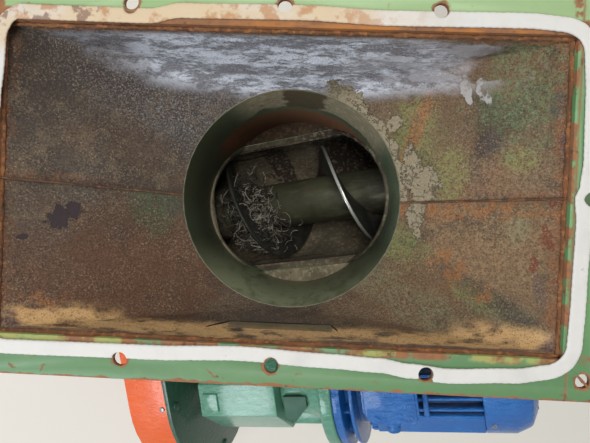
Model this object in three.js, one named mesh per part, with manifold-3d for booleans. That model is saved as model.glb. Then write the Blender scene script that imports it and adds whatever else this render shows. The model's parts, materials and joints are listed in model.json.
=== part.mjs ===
// An inclined tubular screw conveyor with a rectangle-to-round inlet hopper, a screw in a round tube,
// a geared motor beside the lower end and a covered chain drive, standing on two welded stands.
// Millimetres, +Z up. The origin is on the floor, on the sole of the inlet stand, below the inlet spout.
// +X points the way the conveyor climbs, and the drive hangs on the -Y side.

import * as THREE from 'three';
import { mergeVertices } from 'three/addons/utils/BufferGeometryUtils.js';
import Module from 'manifold-3d';

const wasm = await Module();
wasm.setup();

// Driving dimensions
const PITCH = THREE.MathUtils.degToRad(16); // climb of the conveyor
const HOPPER_TURN = THREE.MathUtils.degToRad(-10.3); // the hopper sits turned on its round spout
const FLANGE_HEIGHT = 700;
const AXIS_DEPTH = 324; // from the inlet flange down to the screw's axis at the spout
const AXIS_HEIGHT = FLANGE_HEIGHT - AXIS_DEPTH;
const FIT = 0.3; // gap between pieces that touch

const ANGLE = { leg: 40, thick: 5 };
const MOUTH = { long: 560, short: 310, offsetX: -9, offsetY: 7 }; // inside the flange, and off the spout's centre
const BOLT_HOLE_RADIUS = 7;
const BOLT_PITCH = 150;
const HOPPER_SHEET = 3;
const HOPPER_TOP = -8; // where the hopper's sheets start below the flange's face
const SPOUT_TOP = -101;
const SPOUT = { inner: 130, outer: 134 };
const GASKET = { thick: 2.5, width: 15, inset: 4, corner: 34 };

const TUBE = { inner: 101.5, outer: 109.5, low: -231.7, inletEnd: 185, joint: 1100, high: 2400 };
const INLET_CUT = { low: -100, level: 25, radius: 127 }; // opening in the tube, along the axis and above it
const LEDGE = { thick: 6, reach: 140 };
const SHAFT = { radius: 38, stub: 25, low: -300, high: 2470 };
const FLIGHT = { inner: 38.8, outer: 87.5, thick: 5, pitch: 168, low: -215, high: 2330, phase: 237, steps: 24 };
const JOINT_RING = { outer: 137, thick: 8 };
const ROUND = 48; // sides of the large cylinders

const DRIVE = { y: -305, z: 10 }; // motor axis, off the screw's axis
const OUTPUT = { z: -55, shaft: 20 }; // gearbox output below the motor axis, off the screw's axis
const PLATE = { low: -240, thick: 8, radius: 120, wide: 160 }; // round ends about the screw and the output
const GUARD = { low: -316, inset: 4, sheet: 3 };
const END_PLATE = { side: 250, thick: 8 };
const BEARING = { half: 65, base: 16, boss: 46, end: 42 };

const OUTLET = { at: 2225, inner: 96, outer: 101, drop: 215, flange: 135, flangeThick: 8 };
const SOLE_THICK = 10;
const INLET_STAND = { half: 80, post: 50, top: 345, soleLong: 360, soleWide: 120 };
const UPPER_STAND = { at: 1800, half: 140, post: 60, bar: 70, sole: 160, tie: 300 };

// Paint and metal
const paint = (color, roughness, metalness = 0) => new THREE.MeshStandardMaterial({ color, roughness, metalness });
const GREEN = paint('#6fa37a', 0.5);
const DARK_GREEN = paint('#2f5646', 0.45);
const MOTOR_BLUE = paint('#2f6fbd', 0.4);
const GEAR_GREEN = paint('#6f9c84', 0.4);
const ORANGE = paint('#e0611c', 0.4);
const RUSTY = paint('#6b5340', 0.85, 0.2);
const SEAL_WHITE = paint('#e8e6e2', 0.6);
const WORN_STEEL = paint('#6d6f66', 0.45, 0.7);
const BEARING_GREY = paint('#4d5a55', 0.5, 0.3);

// A closed three.js geometry as a solid, and back
function solid(geometry) {
  const bare = geometry.index ? geometry.clone() : geometry;
  bare.deleteAttribute('normal');
  bare.deleteAttribute('uv');
  const merged = mergeVertices(bare, 1e-4);
  return new wasm.Manifold(new wasm.Mesh({
    numProp: 3,
    vertProperties: new Float32Array(merged.attributes.position.array),
    triVerts: new Uint32Array(merged.index.array),
  }));
}

function geometryOf(body) {
  const mesh = body.getMesh();
  const geometry = new THREE.BufferGeometry();
  geometry.setAttribute('position', new THREE.BufferAttribute(new Float32Array(mesh.vertProperties), 3));
  geometry.setIndex(new THREE.BufferAttribute(new Uint32Array(mesh.triVerts), 1));
  return geometry;
}

function piece(name, shape, material, parent) {
  const geometry = shape.isBufferGeometry ? shape : geometryOf(shape);
  const mesh = new THREE.Mesh(geometry, material);
  mesh.name = name;
  parent.add(mesh);
  return mesh;
}

// Plain shapes, given by their lowest and highest corners or by their place along an axis
function box(x0, x1, y0, y1, z0, z1) {
  return new THREE.BoxGeometry(x1 - x0, y1 - y0, z1 - z0)
    .translate((x0 + x1) / 2, (y0 + y1) / 2, (z0 + z1) / 2);
}

function rodX(radius, x0, x1, sides = ROUND) {
  return new THREE.CylinderGeometry(radius, radius, x1 - x0, sides)
    .rotateZ(Math.PI / 2)
    .translate((x0 + x1) / 2, 0, 0);
}

function rodZ(radius, z0, z1, sides = ROUND) {
  return new THREE.CylinderGeometry(radius, radius, z1 - z0, sides)
    .rotateX(Math.PI / 2)
    .translate(0, 0, (z0 + z1) / 2);
}

function turned(profile, sides = 40) {
  // Radius and place along X for each corner, from the axis and back to it
  const corners = profile.map(([r, x]) => new THREE.Vector2(r, x));
  return new THREE.LatheGeometry(corners, sides).rotateZ(-Math.PI / 2);
}

function ringX(inner, outer, x0, x1) {
  return solid(rodX(outer, x0, x1)).subtract(solid(rodX(inner, x0 - 1, x1 + 1)));
}

function extrudeX(shape, x0, x1) {
  // The shape's x and y become the row's y and z
  return new THREE.ExtrudeGeometry(shape, { depth: x1 - x0, bevelEnabled: false, curveSegments: 12 })
    .applyMatrix4(new THREE.Matrix4().makeBasis(
      new THREE.Vector3(0, 1, 0), new THREE.Vector3(0, 0, 1), new THREE.Vector3(1, 0, 0)))
    .translate(x0, 0, 0);
}

function extrudeZ(shape, z0, z1) {
  return new THREE.ExtrudeGeometry(shape, { depth: z1 - z0, bevelEnabled: false }).translate(0, 0, z0);
}

function outlineShape(corners) {
  return new THREE.Shape(corners.map(([a, b]) => new THREE.Vector2(a, b)));
}

function driveOutline(inset) {
  // A wide round end about the gearbox output and a smaller one about the screw, joined by tangents
  const lean = Math.atan2(-OUTPUT.z, -DRIVE.y);
  const spread = Math.acos((PLATE.wide - PLATE.radius) / Math.hypot(DRIVE.y, OUTPUT.z));
  const shape = new THREE.Shape();
  shape.absarc(DRIVE.y, OUTPUT.z, PLATE.wide - inset, lean + spread, lean - spread + 2 * Math.PI, false);
  shape.absarc(0, 0, PLATE.radius - inset, lean - spread, lean + spread, false);
  shape.closePath();
  return shape;
}

// Frames: the conveyor leans up towards +X, the hopper is level and turned about the spout
const part = new THREE.Group();
const incline = new THREE.Group();
incline.position.set(0, 0, AXIS_HEIGHT);
incline.rotation.y = -PITCH;
const hopper = new THREE.Group();
hopper.position.set(0, 0, FLANGE_HEIGHT);
hopper.rotation.z = HOPPER_TURN;
part.add(incline, hopper);
incline.updateMatrix();
hopper.updateMatrix();
const inclineFrame = incline.matrix.clone();
const levelInIncline = inclineFrame.clone().invert();

const tubeBody = () => solid(rodX(TUBE.outer + FIT, TUBE.low, TUBE.high).applyMatrix4(inclineFrame));

// Inlet flange: four angle bars with mitred ends and bolt holes
function flangeBar(length, holes) {
  const section = new THREE.Shape([
    new THREE.Vector2(0, 0),
    new THREE.Vector2(ANGLE.leg, 0),
    new THREE.Vector2(ANGLE.leg, -ANGLE.thick),
    new THREE.Vector2(ANGLE.thick, -ANGLE.thick),
    new THREE.Vector2(ANGLE.thick, -ANGLE.leg),
    new THREE.Vector2(0, -ANGLE.leg),
  ]);
  const full = length + 2 * ANGLE.leg;
  const bar = solid(extrudeX(section, -full / 2, full / 2));
  // The mitre leaves FIT between the bars, measured along the bar
  const miter = new THREE.Shape([
    new THREE.Vector2(-length / 2 + FIT, 0),
    new THREE.Vector2(length / 2 - FIT, 0),
    new THREE.Vector2(length / 2 + ANGLE.leg - FIT, ANGLE.leg),
    new THREE.Vector2(-length / 2 - ANGLE.leg + FIT, ANGLE.leg),
  ]);
  const keep = new THREE.ExtrudeGeometry(miter, { depth: 2 * ANGLE.leg, bevelEnabled: false })
    .translate(0, 0, -1.5 * ANGLE.leg);
  let cut = bar.intersect(solid(keep));
  for (const [x, y] of holes) {
    cut = cut.subtract(solid(rodZ(BOLT_HOLE_RADIUS, -ANGLE.leg, 1, 24).translate(x, y, 0)));
  }
  return cut;
}

function addFlange() {
  // The corner holes go through the mitres, so each bar holds half of them
  const corner = (MOUTH.short + ANGLE.leg) / 2;
  const longHoles = [-2, -1, 0, 1, 2].map((n) => [n * BOLT_PITCH, ANGLE.leg / 2]);
  const shortHoles = [-corner, 0, corner].map((x) => [x, ANGLE.leg / 2]);
  const bars = [
    ['inlet_flange_back', MOUTH.long, longHoles, 0],
    ['inlet_flange_left', MOUTH.short, shortHoles, Math.PI / 2],
    ['inlet_flange_front', MOUTH.long, longHoles, Math.PI],
    ['inlet_flange_right', MOUTH.short, shortHoles, -Math.PI / 2],
  ];
  for (const [name, length, holes, turn] of bars) {
    const across = length === MOUTH.long ? MOUTH.short : MOUTH.long;
    const bar = piece(name, flangeBar(length, holes), GREEN, hopper);
    bar.rotation.z = turn;
    bar.position.set(
      MOUTH.offsetX - Math.sin(turn) * across / 2,
      MOUTH.offsetY + Math.cos(turn) * across / 2, 0);
  }
}

// Sealing strip: a rounded rectangle laid on the flange round the mouth
function roundedRectangle(halfX, halfY, radius, path) {
  path.moveTo(-halfX + radius, -halfY);
  path.lineTo(halfX - radius, -halfY);
  path.absarc(halfX - radius, -halfY + radius, radius, -Math.PI / 2, 0, false);
  path.lineTo(halfX, halfY - radius);
  path.absarc(halfX - radius, halfY - radius, radius, 0, Math.PI / 2, false);
  path.lineTo(-halfX + radius, halfY);
  path.absarc(-halfX + radius, halfY - radius, radius, Math.PI / 2, Math.PI, false);
  path.lineTo(-halfX, -halfY + radius);
  path.absarc(-halfX + radius, -halfY + radius, radius, Math.PI, 1.5 * Math.PI, false);
  path.closePath();
  return path;
}

function addSealingStrip() {
  const inX = MOUTH.long / 2 + GASKET.inset;
  const inY = MOUTH.short / 2 + GASKET.inset;
  const outline = roundedRectangle(inX + GASKET.width, inY + GASKET.width, GASKET.corner, new THREE.Shape());
  outline.holes.push(roundedRectangle(inX, inY, GASKET.corner - GASKET.width, new THREE.Path()));
  let strip = solid(new THREE.ExtrudeGeometry(outline, { depth: GASKET.thick, bevelEnabled: false, curveSegments: 6 }));
  // The strip is notched where it runs beside the bolt holes
  const holes = [-1, 0, 1].flatMap((n) => [
    [n * BOLT_PITCH, (MOUTH.short + ANGLE.leg) / 2],
    [n * BOLT_PITCH, -(MOUTH.short + ANGLE.leg) / 2],
  ]);
  holes.push([(MOUTH.long + ANGLE.leg) / 2, 0], [-(MOUTH.long + ANGLE.leg) / 2, 0]);
  for (const [x, y] of holes) {
    strip = strip.subtract(solid(rodZ(BOLT_HOLE_RADIUS, -1, GASKET.thick + 1, 16).translate(x, y, 0)));
  }
  piece('sealing_strip', strip, SEAL_WHITE, hopper).position.set(MOUTH.offsetX, MOUTH.offsetY, FIT);
}

// Hopper: rectangle to round, folded from two sheets that meet on the short sides
function hopperSurface(inward, side) {
  // The edge points of one skin of a half: along the mouth, then along the round end
  const halfX = MOUTH.long / 2 - FIT - inward;
  const halfY = MOUTH.short / 2 - FIT - inward;
  const seam = side * FIT / 2;
  const top = [
    [-halfX + MOUTH.offsetX, MOUTH.offsetY + seam],
    [-halfX + MOUTH.offsetX, MOUTH.offsetY + side * halfY],
    [halfX + MOUTH.offsetX, MOUTH.offsetY + side * halfY],
    [halfX + MOUTH.offsetX, MOUTH.offsetY + seam],
  ].map(([x, y]) => new THREE.Vector3(x, y, HOPPER_TOP));
  const radius = SPOUT.outer - inward;
  const steps = ROUND / 2;
  const bottom = [];
  for (let i = 0; i <= steps; i += 1) {
    const angle = Math.PI - (i * Math.PI) / steps;
    const y = i === 0 || i === steps ? seam : side * radius * Math.sin(angle);
    bottom.push(new THREE.Vector3(radius * Math.cos(angle), y, SPOUT_TOP));
  }
  return { top, bottom };
}

function hopperHalf(side) {
  const outer = hopperSurface(0, side);
  const inner = hopperSurface(HOPPER_SHEET, side);
  const points = [];
  const put = (list) => list.map((p) => points.push(p) - 1);
  const skins = [outer, inner].map((s) => ({ top: put(s.top), bottom: put(s.bottom) }));
  const faces = [];
  const tri = (a, b, c, flip) => faces.push(...(flip ? [a, c, b] : [a, b, c]));
  const quad = (a, b, c, d, flip) => {
    tri(a, b, c, flip);
    tri(a, c, d, flip);
  };
  const half = (skins[0].bottom.length - 1) / 2;
  skins.forEach(({ top, bottom }, skin) => {
    const flip = (skin === 0) !== (side < 0);
    tri(top[0], bottom[0], top[1], flip);
    for (let i = 0; i < half; i += 1) tri(top[1], bottom[i], bottom[i + 1], flip);
    tri(top[1], bottom[half], top[2], flip);
    for (let i = half; i < 2 * half; i += 1) tri(top[2], bottom[i], bottom[i + 1], flip);
    tri(top[2], bottom[2 * half], top[3], flip);
  });
  const [a, b] = skins;
  const flip = side < 0;
  for (let i = 0; i < 3; i += 1) quad(a.top[i], a.top[i + 1], b.top[i + 1], b.top[i], !flip);
  for (let i = 0; i < 2 * half; i += 1) {
    quad(a.bottom[i], a.bottom[i + 1], b.bottom[i + 1], b.bottom[i], flip);
  }
  quad(a.top[0], b.top[0], b.bottom[0], a.bottom[0], !flip);
  quad(a.top[3], b.top[3], b.bottom[2 * half], a.bottom[2 * half], flip);
  const geometry = new THREE.BufferGeometry();
  geometry.setAttribute('position', new THREE.BufferAttribute(
    new Float32Array(points.flatMap((p) => p.toArray())), 3));
  geometry.setIndex(faces);
  return geometry;
}

function addHopper() {
  piece('hopper_half_front', hopperHalf(-1), RUSTY, hopper);
  piece('hopper_half_back', hopperHalf(1), RUSTY, hopper);
}

// Inlet spout, its closing ledges and the tube it feeds
function addSpout() {
  const pipe = solid(rodZ(SPOUT.outer, 0, FLANGE_HEIGHT + SPOUT_TOP - FIT))
    .subtract(solid(rodZ(SPOUT.inner, -1, FLANGE_HEIGHT)));
  const below = solid(box(-400, 400, -300, 300, -500, INLET_CUT.level).applyMatrix4(inclineFrame));
  piece('inlet_spout', pipe.subtract(tubeBody()).subtract(below), DARK_GREEN, part);

  const slab = solid(box(-400, 400, -300, 300, INLET_CUT.level - FIT - LEDGE.thick, INLET_CUT.level - FIT)
    .applyMatrix4(inclineFrame));
  const ledges = slab.intersect(solid(rodZ(LEDGE.reach, 0, FLANGE_HEIGHT))).subtract(tubeBody());
  for (const [name, side] of [['inlet_ledge_front', -1], ['inlet_ledge_back', 1]]) {
    const half = solid(box(-400, 400, Math.min(0, side * 400), Math.max(0, side * 400), 0, FLANGE_HEIGHT));
    piece(name, ledges.intersect(half), GREEN, part);
  }
}

function addTube() {
  const opening = solid(rodZ(INLET_CUT.radius, 0, FLANGE_HEIGHT).applyMatrix4(levelInIncline))
    .intersect(solid(box(INLET_CUT.low, 400, -300, 300, INLET_CUT.level, 400)));
  const inlet = ringX(TUBE.inner, TUBE.outer, TUBE.low, TUBE.inletEnd - FIT / 2).subtract(opening);
  piece('inlet_tube', inlet, GREEN, incline);
  const lower = ringX(TUBE.inner, TUBE.outer, TUBE.inletEnd + FIT / 2, TUBE.joint - FIT / 2);
  piece('conveyor_tube_lower', lower, GREEN, incline);

  const outletHole = solid(rodZ(OUTLET.inner - 4, 0, 2000)
    .translate(OUTLET.at * Math.cos(PITCH), 0, AXIS_HEIGHT + OUTLET.at * Math.sin(PITCH) - 2000)
    .applyMatrix4(levelInIncline));
  const upper = ringX(TUBE.inner, TUBE.outer, TUBE.joint + FIT / 2, TUBE.high).subtract(outletHole);
  piece('conveyor_tube_upper', upper, GREEN, incline);

  const rings = [
    ['joint_ring_lower', TUBE.joint - FIT / 2 - JOINT_RING.thick, TUBE.joint - FIT / 2],
    ['joint_ring_upper', TUBE.joint + FIT / 2, TUBE.joint + FIT / 2 + JOINT_RING.thick],
  ];
  for (const [name, x0, x1] of rings) {
    piece(name, ringX(TUBE.outer + FIT, JOINT_RING.outer, x0, x1), GREEN, incline);
  }
}

// The screw: a tube with two journals, and a right-hand flight in two lengths
function addScrew() {
  const { radius, stub, low, high } = SHAFT;
  const profile = [[0, low], [stub, low], [stub, TUBE.low + 4], [radius, TUBE.low + 4],
    [radius, TUBE.high - 4], [stub, TUBE.high - 4], [stub, high], [0, high]];
  piece('screw_shaft', solid(turned(profile, 32)), WORN_STEEL, incline);
  const middle = (FLIGHT.low + FLIGHT.high) / 2;
  piece('screw_flight_lower', flight(FLIGHT.low, middle - FIT / 2), WORN_STEEL, incline);
  piece('screw_flight_upper', flight(middle + FIT / 2, FLIGHT.high), WORN_STEEL, incline);
}

function flight(x0, x1) {
  const steps = Math.round(((x1 - x0) / FLIGHT.pitch) * FLIGHT.steps);
  const positions = [];
  const faces = [];
  for (let i = 0; i <= steps; i += 1) {
    const x = x0 + FLIGHT.thick / 2 + ((x1 - x0 - FLIGHT.thick) * i) / steps;
    const angle = (2 * Math.PI * x) / FLIGHT.pitch + THREE.MathUtils.degToRad(FLIGHT.phase);
    const [cos, sin] = [Math.cos(angle), Math.sin(angle)];
    for (const [r, dx] of [[FLIGHT.inner, -1], [FLIGHT.outer, -1], [FLIGHT.outer, 1], [FLIGHT.inner, 1]]) {
      positions.push(x + (dx * FLIGHT.thick) / 2, r * cos, r * sin);
    }
  }
  const quad = (a, b, c, d) => faces.push(a, c, b, a, d, c);
  for (let i = 0; i < steps; i += 1) {
    for (let k = 0; k < 4; k += 1) {
      const next = (k + 1) % 4;
      quad(4 * i + k, 4 * i + next, 4 * i + 4 + next, 4 * i + 4 + k);
    }
  }
  quad(3, 2, 1, 0);
  quad(4 * steps, 4 * steps + 1, 4 * steps + 2, 4 * steps + 3);
  const geometry = new THREE.BufferGeometry();
  geometry.setAttribute('position', new THREE.BufferAttribute(new Float32Array(positions), 3));
  geometry.setIndex(faces);
  return geometry;
}

// Lower end: one long plate closes the tube and carries the drive, with a chain guard on it
function addLowerEnd() {
  const plate = solid(extrudeX(driveOutline(0), PLATE.low, PLATE.low + PLATE.thick))
    .subtract(solid(rodX(SHAFT.stub + FIT, -400, 0, 32)))
    .subtract(solid(rodX(OUTPUT.shaft, -400, 0, 32).translate(0, DRIVE.y, OUTPUT.z)));
  piece('drive_plate', plate, DARK_GREEN, incline);

  const shell = solid(extrudeX(driveOutline(GUARD.inset), GUARD.low, PLATE.low - FIT));
  const hollow = solid(extrudeX(driveOutline(GUARD.inset + GUARD.sheet), GUARD.low + GUARD.sheet, 0));
  piece('chain_guard', shell.subtract(hollow), ORANGE, incline);
}

// Upper end: a square plate and a flanged bearing round the journal
function addUpperEnd() {
  const bore = solid(rodX(SHAFT.stub + FIT, 2000, 3000, 32));
  const x0 = TUBE.high + FIT;
  const x1 = x0 + END_PLATE.thick;
  const half = END_PLATE.side / 2;
  piece('end_plate_upper', solid(box(x0, x1, -half, half, -half, half)).subtract(bore), GREEN, incline);

  const { half: wing, base: thick, boss: hub, end } = BEARING;
  const base = solid(box(x1 + FIT, x1 + thick, -wing, wing, -wing, wing));
  const boss = solid(rodX(hub, x1 + FIT, x1 + end, 32));
  piece('bearing_upper', base.add(boss).subtract(bore), BEARING_GREY, incline);
}

// Outlet: a level pipe below the upper end, with a round flange
function addOutlet() {
  const x = OUTLET.at * Math.cos(PITCH);
  const axis = AXIS_HEIGHT + OUTLET.at * Math.sin(PITCH);
  const bottom = axis - OUTLET.drop;
  const place = (geometry) => geometry.translate(x, 0, 0);
  const pipe = solid(place(rodZ(OUTLET.outer, bottom, axis)))
    .subtract(solid(place(rodZ(OUTLET.inner, bottom - 1, axis + 1))))
    .subtract(tubeBody());
  const above = solid(box(-200, 200, -200, 200, -30, 400).translate(OUTLET.at, 0, 0).applyMatrix4(inclineFrame));
  piece('outlet_spout', pipe.subtract(above), GREEN, part);
  const flange = solid(place(rodZ(OUTLET.flange, bottom, bottom + OUTLET.flangeThick)))
    .subtract(solid(place(rodZ(OUTLET.outer + FIT, bottom - 1, bottom + 20))));
  piece('outlet_flange', flange, GREEN, part);
}

// Stands: two posts on a sole plate below the inlet, and a taller frame near the outlet
function addInletStand() {
  const { half, post, top, soleLong, soleWide } = INLET_STAND;
  piece('inlet_sole', box(-soleWide / 2, soleWide / 2, -soleLong / 2, soleLong / 2, 0, SOLE_THICK), GREEN, part);
  for (const [name, side] of [['inlet_post_front', -1], ['inlet_post_back', 1]]) {
    const leg = solid(box(-post / 2, post / 2, side * half - post / 2, side * half + post / 2, SOLE_THICK + FIT, top));
    piece(name, leg.subtract(tubeBody()), GREEN, part);
  }
  const gap = half - post / 2 - FIT;
  piece('inlet_tie', box(-4, 4, -gap, gap, 90, 150), GREEN, part);
}

function addUpperStand() {
  const { at, half, post, bar, sole, tie } = UPPER_STAND;
  const x = at * Math.cos(PITCH);
  const under = AXIS_HEIGHT + at * Math.sin(PITCH) - TUBE.outer / Math.cos(PITCH);
  const barBottom = under - bar / 2 - 15;
  const place = (x0, x1, y0, y1, z0, z1) => box(x0, x1, y0, y1, z0, z1).translate(x, 0, 0);
  const crossbar = solid(place(-post / 2, post / 2, -half - post / 2, half + post / 2, barBottom, barBottom + bar));
  piece('upper_crossbar', crossbar.subtract(tubeBody()), GREEN, part);
  for (const [word, side] of [['front', -1], ['back', 1]]) {
    const y = side * half;
    piece(`upper_sole_${word}`, place(-sole / 2, sole / 2, y - sole / 2, y + sole / 2, 0, SOLE_THICK), GREEN, part);
    const leg = place(-post / 2, post / 2, y - post / 2, y + post / 2, SOLE_THICK + FIT, barBottom - FIT);
    piece(`upper_post_${word}`, leg, GREEN, part);
  }
  const gap = half - post / 2 - FIT;
  piece('upper_tie', place(-4, 4, -gap, gap, tie, tie + 60), GREEN, part);
}

// Drive: gearbox on the long plate, bell and flange, then the motor with its box and fan cover
const NECK = 42;
const GEAR = { low: -190, high: -55, top: 70, topHalf: 26, half: 75, bottom: -80 };
const COVER = { x0: -182, x1: -156, y0: -18, y1: 12, thick: 3 };
const FOOT = { x0: -170, x1: -75, half: 80, thick: 14 };
const BRACKET = { x0: -160, x1: -90, out: -60, web: 160, webThick: 20, in: 235, thick: 14, top: -4 };
const SHELF = { end: 12, half: 70, low: -60, top: 4 };
const BELL = { neck: 48, flare: -22, mouth: 62, flange: 24, rim: 98, end: 43 };
const LUG = { outline: [[-46, 0], [-46, -34], [-30, -41], [-8, -17], [-8, 0]], z0: 30, z1: 58 };
const MOTOR = { rim: 95, flangeEnd: 56, hub: 60, start: 88, end: 250, core: 58, fin: 72, fins: 28 };
const SHIELD = { start: 68, end: 74, radius: 92 };
const TERMINAL = { x0: 91, x1: 166, y0: -18, y1: 44, z0: 76, z1: 102, neck: 6 };
const PAD = { x0: 100, outline: [[-20, 50], [-26, 67], [-56, 53], [-66, 20], [-66, -10], [-40, -20]] };
const GLAND = { radius: 9, long: 18 };
const FAN = { end: 322, radius: 74, shoulder: 30, mouth: 48 };

function gearboxShape() {
  const { top, topHalf, half, bottom } = GEAR;
  return outlineShape([[-topHalf, top], [-half, 8], [-half, bottom + 22], [-half + 18, bottom],
    [half - 18, bottom], [half, bottom + 22], [half, 8], [topHalf, top]]);
}

function finnedShape() {
  // A star outline: each fin has its root on the core and a flat tip
  const star = new THREE.Shape();
  const spread = Math.PI / MOTOR.fins;
  const corners = [[MOTOR.core, -1], [MOTOR.core, -0.32], [MOTOR.fin, -0.2], [MOTOR.fin, 0.2], [MOTOR.core, 0.32]];
  for (let i = 0; i < MOTOR.fins; i += 1) {
    corners.forEach(([r, share], k) => {
      const a = (2 * i + share) * spread;
      if (i === 0 && k === 0) star.moveTo(r * Math.cos(a), r * Math.sin(a));
      else star.lineTo(r * Math.cos(a), r * Math.sin(a));
    });
  }
  star.closePath();
  return star;
}

function addDrive() {
  const drive = new THREE.Group();
  drive.position.set(0, DRIVE.y, DRIVE.z);
  incline.add(drive);
  const plateFace = PLATE.low + PLATE.thick + FIT;
  const neck = rodX(NECK, plateFace, GEAR.low - FIT, 36).translate(0, 0, OUTPUT.z - DRIVE.z);
  piece('gearbox_neck', neck, DARK_GREEN, drive);
  const cover = box(COVER.x0, COVER.x1, COVER.y0, COVER.y1, GEAR.top + FIT, GEAR.top + COVER.thick);
  piece('gearbox_cover', cover, GEAR_GREEN, drive);
  const footTop = GEAR.bottom - FIT;
  const foot = box(FOOT.x0, FOOT.x1, -FOOT.half, FOOT.half, footTop - FOOT.thick, footTop);
  piece('gearbox_foot', foot, GEAR_GREEN, drive);

  // Bracket from below the foot to the side of the tube
  const under = footTop - FOOT.thick - FIT;
  const tubeBeside = solid(rodX(TUBE.outer + FIT, -400, 400).translate(0, -DRIVE.y, -DRIVE.z));
  const { x0: left, x1: right, out, web, webThick, in: reach, thick, top } = BRACKET;
  const bracket = solid(box(left, right, out, reach, under - thick, under))
    .add(solid(box(left, right, web, web + webThick, under - thick, top)));
  piece('drive_bracket', bracket.subtract(tubeBeside), GREEN, drive);

  // Bell from the gearbox up to the round flange, as one turned casting, lying in the housing's shelf
  const bell = (grow) => solid(turned([[0, GEAR.high + FIT - grow], [BELL.neck + grow, GEAR.high + FIT - grow],
    [BELL.neck + grow, BELL.flare], [BELL.mouth + grow, BELL.flange - 2 - grow], [BELL.rim + grow, BELL.flange - grow],
    [BELL.rim + grow, BELL.end], [0, BELL.end]]));
  piece('gearbox_bell', bell(0), GEAR_GREEN, drive);
  const shelf = solid(box(GEAR.high - 1, SHELF.end, -SHELF.half, SHELF.half, SHELF.low, SHELF.top)).subtract(bell(FIT));
  piece('gearbox_housing', solid(extrudeX(gearboxShape(), GEAR.low, GEAR.high)).add(shelf), GEAR_GREEN, drive);
  const lug = solid(extrudeZ(outlineShape(LUG.outline), LUG.z0, LUG.z1)).subtract(bell(FIT));
  piece('gearbox_lug', lug, DARK_GREEN, drive);

  // Flange and end shield, with a recess between them
  piece('motor_flange', solid(turned([[0, BELL.end + FIT], [MOTOR.rim, BELL.end + FIT], [MOTOR.rim, MOTOR.flangeEnd],
    [MOTOR.hub, MOTOR.flangeEnd], [MOTOR.hub, SHIELD.start], [SHIELD.radius, SHIELD.start], [SHIELD.radius, SHIELD.end],
    [MOTOR.hub, SHIELD.end], [MOTOR.hub, MOTOR.start], [0, MOTOR.start]])), MOTOR_BLUE, drive);

  // Finned body with the seat of its terminal box and the flat pad on its side
  const { x0, x1, y0, y1, z0, z1, neck: inset } = TERMINAL;
  const body = solid(extrudeX(finnedShape(), MOTOR.start + FIT, MOTOR.end))
    .add(solid(box(x0 + inset, x1 - inset, y0 + inset, y1 - inset, MOTOR.core - inset, z0 - FIT)))
    .add(solid(extrudeX(outlineShape(PAD.outline), PAD.x0, MOTOR.end)));
  piece('motor_body', body, MOTOR_BLUE, drive);
  piece('terminal_box', box(x0, x1, y0, y1, z0, z1), MOTOR_BLUE, drive);
  const gland = new THREE.CylinderGeometry(GLAND.radius, GLAND.radius, GLAND.long, 12)
    .translate((x0 + x1) / 2, y0 - GLAND.long / 2 - FIT, (z0 + z1) / 2);
  piece('cable_gland', gland, MOTOR_BLUE, drive);
  const { radius, end, shoulder, mouth } = FAN;
  piece('fan_cover', solid(turned([[0, MOTOR.end + FIT], [radius, MOTOR.end + FIT], [radius, end - shoulder],
    [radius - 9, end - 9], [mouth, end], [0, end]])), MOTOR_BLUE, drive);
}

addFlange();
addSealingStrip();
addHopper();
addSpout();
addTube();
addScrew();
addLowerEnd();
addUpperEnd();
addOutlet();
addInletStand();
addUpperStand();
addDrive();

export default part;
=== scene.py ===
import json
import math
import random

import bpy
from mathutils import Matrix, Vector


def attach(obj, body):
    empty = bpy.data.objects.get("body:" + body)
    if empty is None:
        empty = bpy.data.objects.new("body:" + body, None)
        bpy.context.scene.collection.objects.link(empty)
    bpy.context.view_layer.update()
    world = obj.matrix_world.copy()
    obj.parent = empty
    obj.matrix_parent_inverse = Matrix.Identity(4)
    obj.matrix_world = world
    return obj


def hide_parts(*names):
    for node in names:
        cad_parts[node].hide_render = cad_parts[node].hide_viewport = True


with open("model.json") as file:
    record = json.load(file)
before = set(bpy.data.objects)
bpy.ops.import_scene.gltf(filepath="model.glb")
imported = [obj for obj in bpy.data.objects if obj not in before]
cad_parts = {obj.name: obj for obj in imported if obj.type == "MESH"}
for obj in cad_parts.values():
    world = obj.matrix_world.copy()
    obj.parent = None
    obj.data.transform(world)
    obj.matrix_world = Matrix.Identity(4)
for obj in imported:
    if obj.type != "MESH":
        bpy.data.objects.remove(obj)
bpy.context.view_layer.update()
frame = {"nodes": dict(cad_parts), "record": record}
nodes = frame["nodes"]
body_of = {n: b for b, ns in frame["record"]["behaviour"]["bodies"].items() for n in ns}
rng = random.Random(11)

# Driving sizes in metres, taken along the tube's axis where they lie on it
PITCH = math.radians(16)
AXIS_HEIGHT = 0.376
TUBE_RADIUS = 0.1096
JOINT_AT, TUBE_END = 1.1, 2.4
STAND_X = 1.8 * math.cos(PITCH)
OUTLET_AT, OUTLET_DROP = 2.225, 0.215
OUTLET_X = OUTLET_AT * math.cos(PITCH)
OUTLET_HEIGHT = AXIS_HEIGHT + OUTLET_AT * math.sin(PITCH)
OUTLET_LOW = OUTLET_HEIGHT - OUTLET_DROP
PLATE_FACE = 0.0083  # of a joint ring or end plate, outwards from the joint or the tube's end
SOLE_TOP = 0.01
FLANGE_HEIGHT = 0.7
MOUTH_X, MOUTH_Y = -0.009, 0.007  # centre of the hopper's mouth
BOLT_PITCH, BOLT_ROW, BOLT_END = 0.15, 0.175, 0.3
SPOUT_RADIUS = 0.1345
DRIVE_ACROSS, DRIVE_DOWN = 0.305, 0.055  # from the screw to the guard's other end
BIG_END, SMALL_END = 0.16, 0.12  # radii of the chain guard
GUARD_WALL_AT, DRIVE_PLATE_AT = -0.25, -0.232
INLET_POST, UPPER_POST = 0.08, 0.14  # from the centre line to either post


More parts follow.
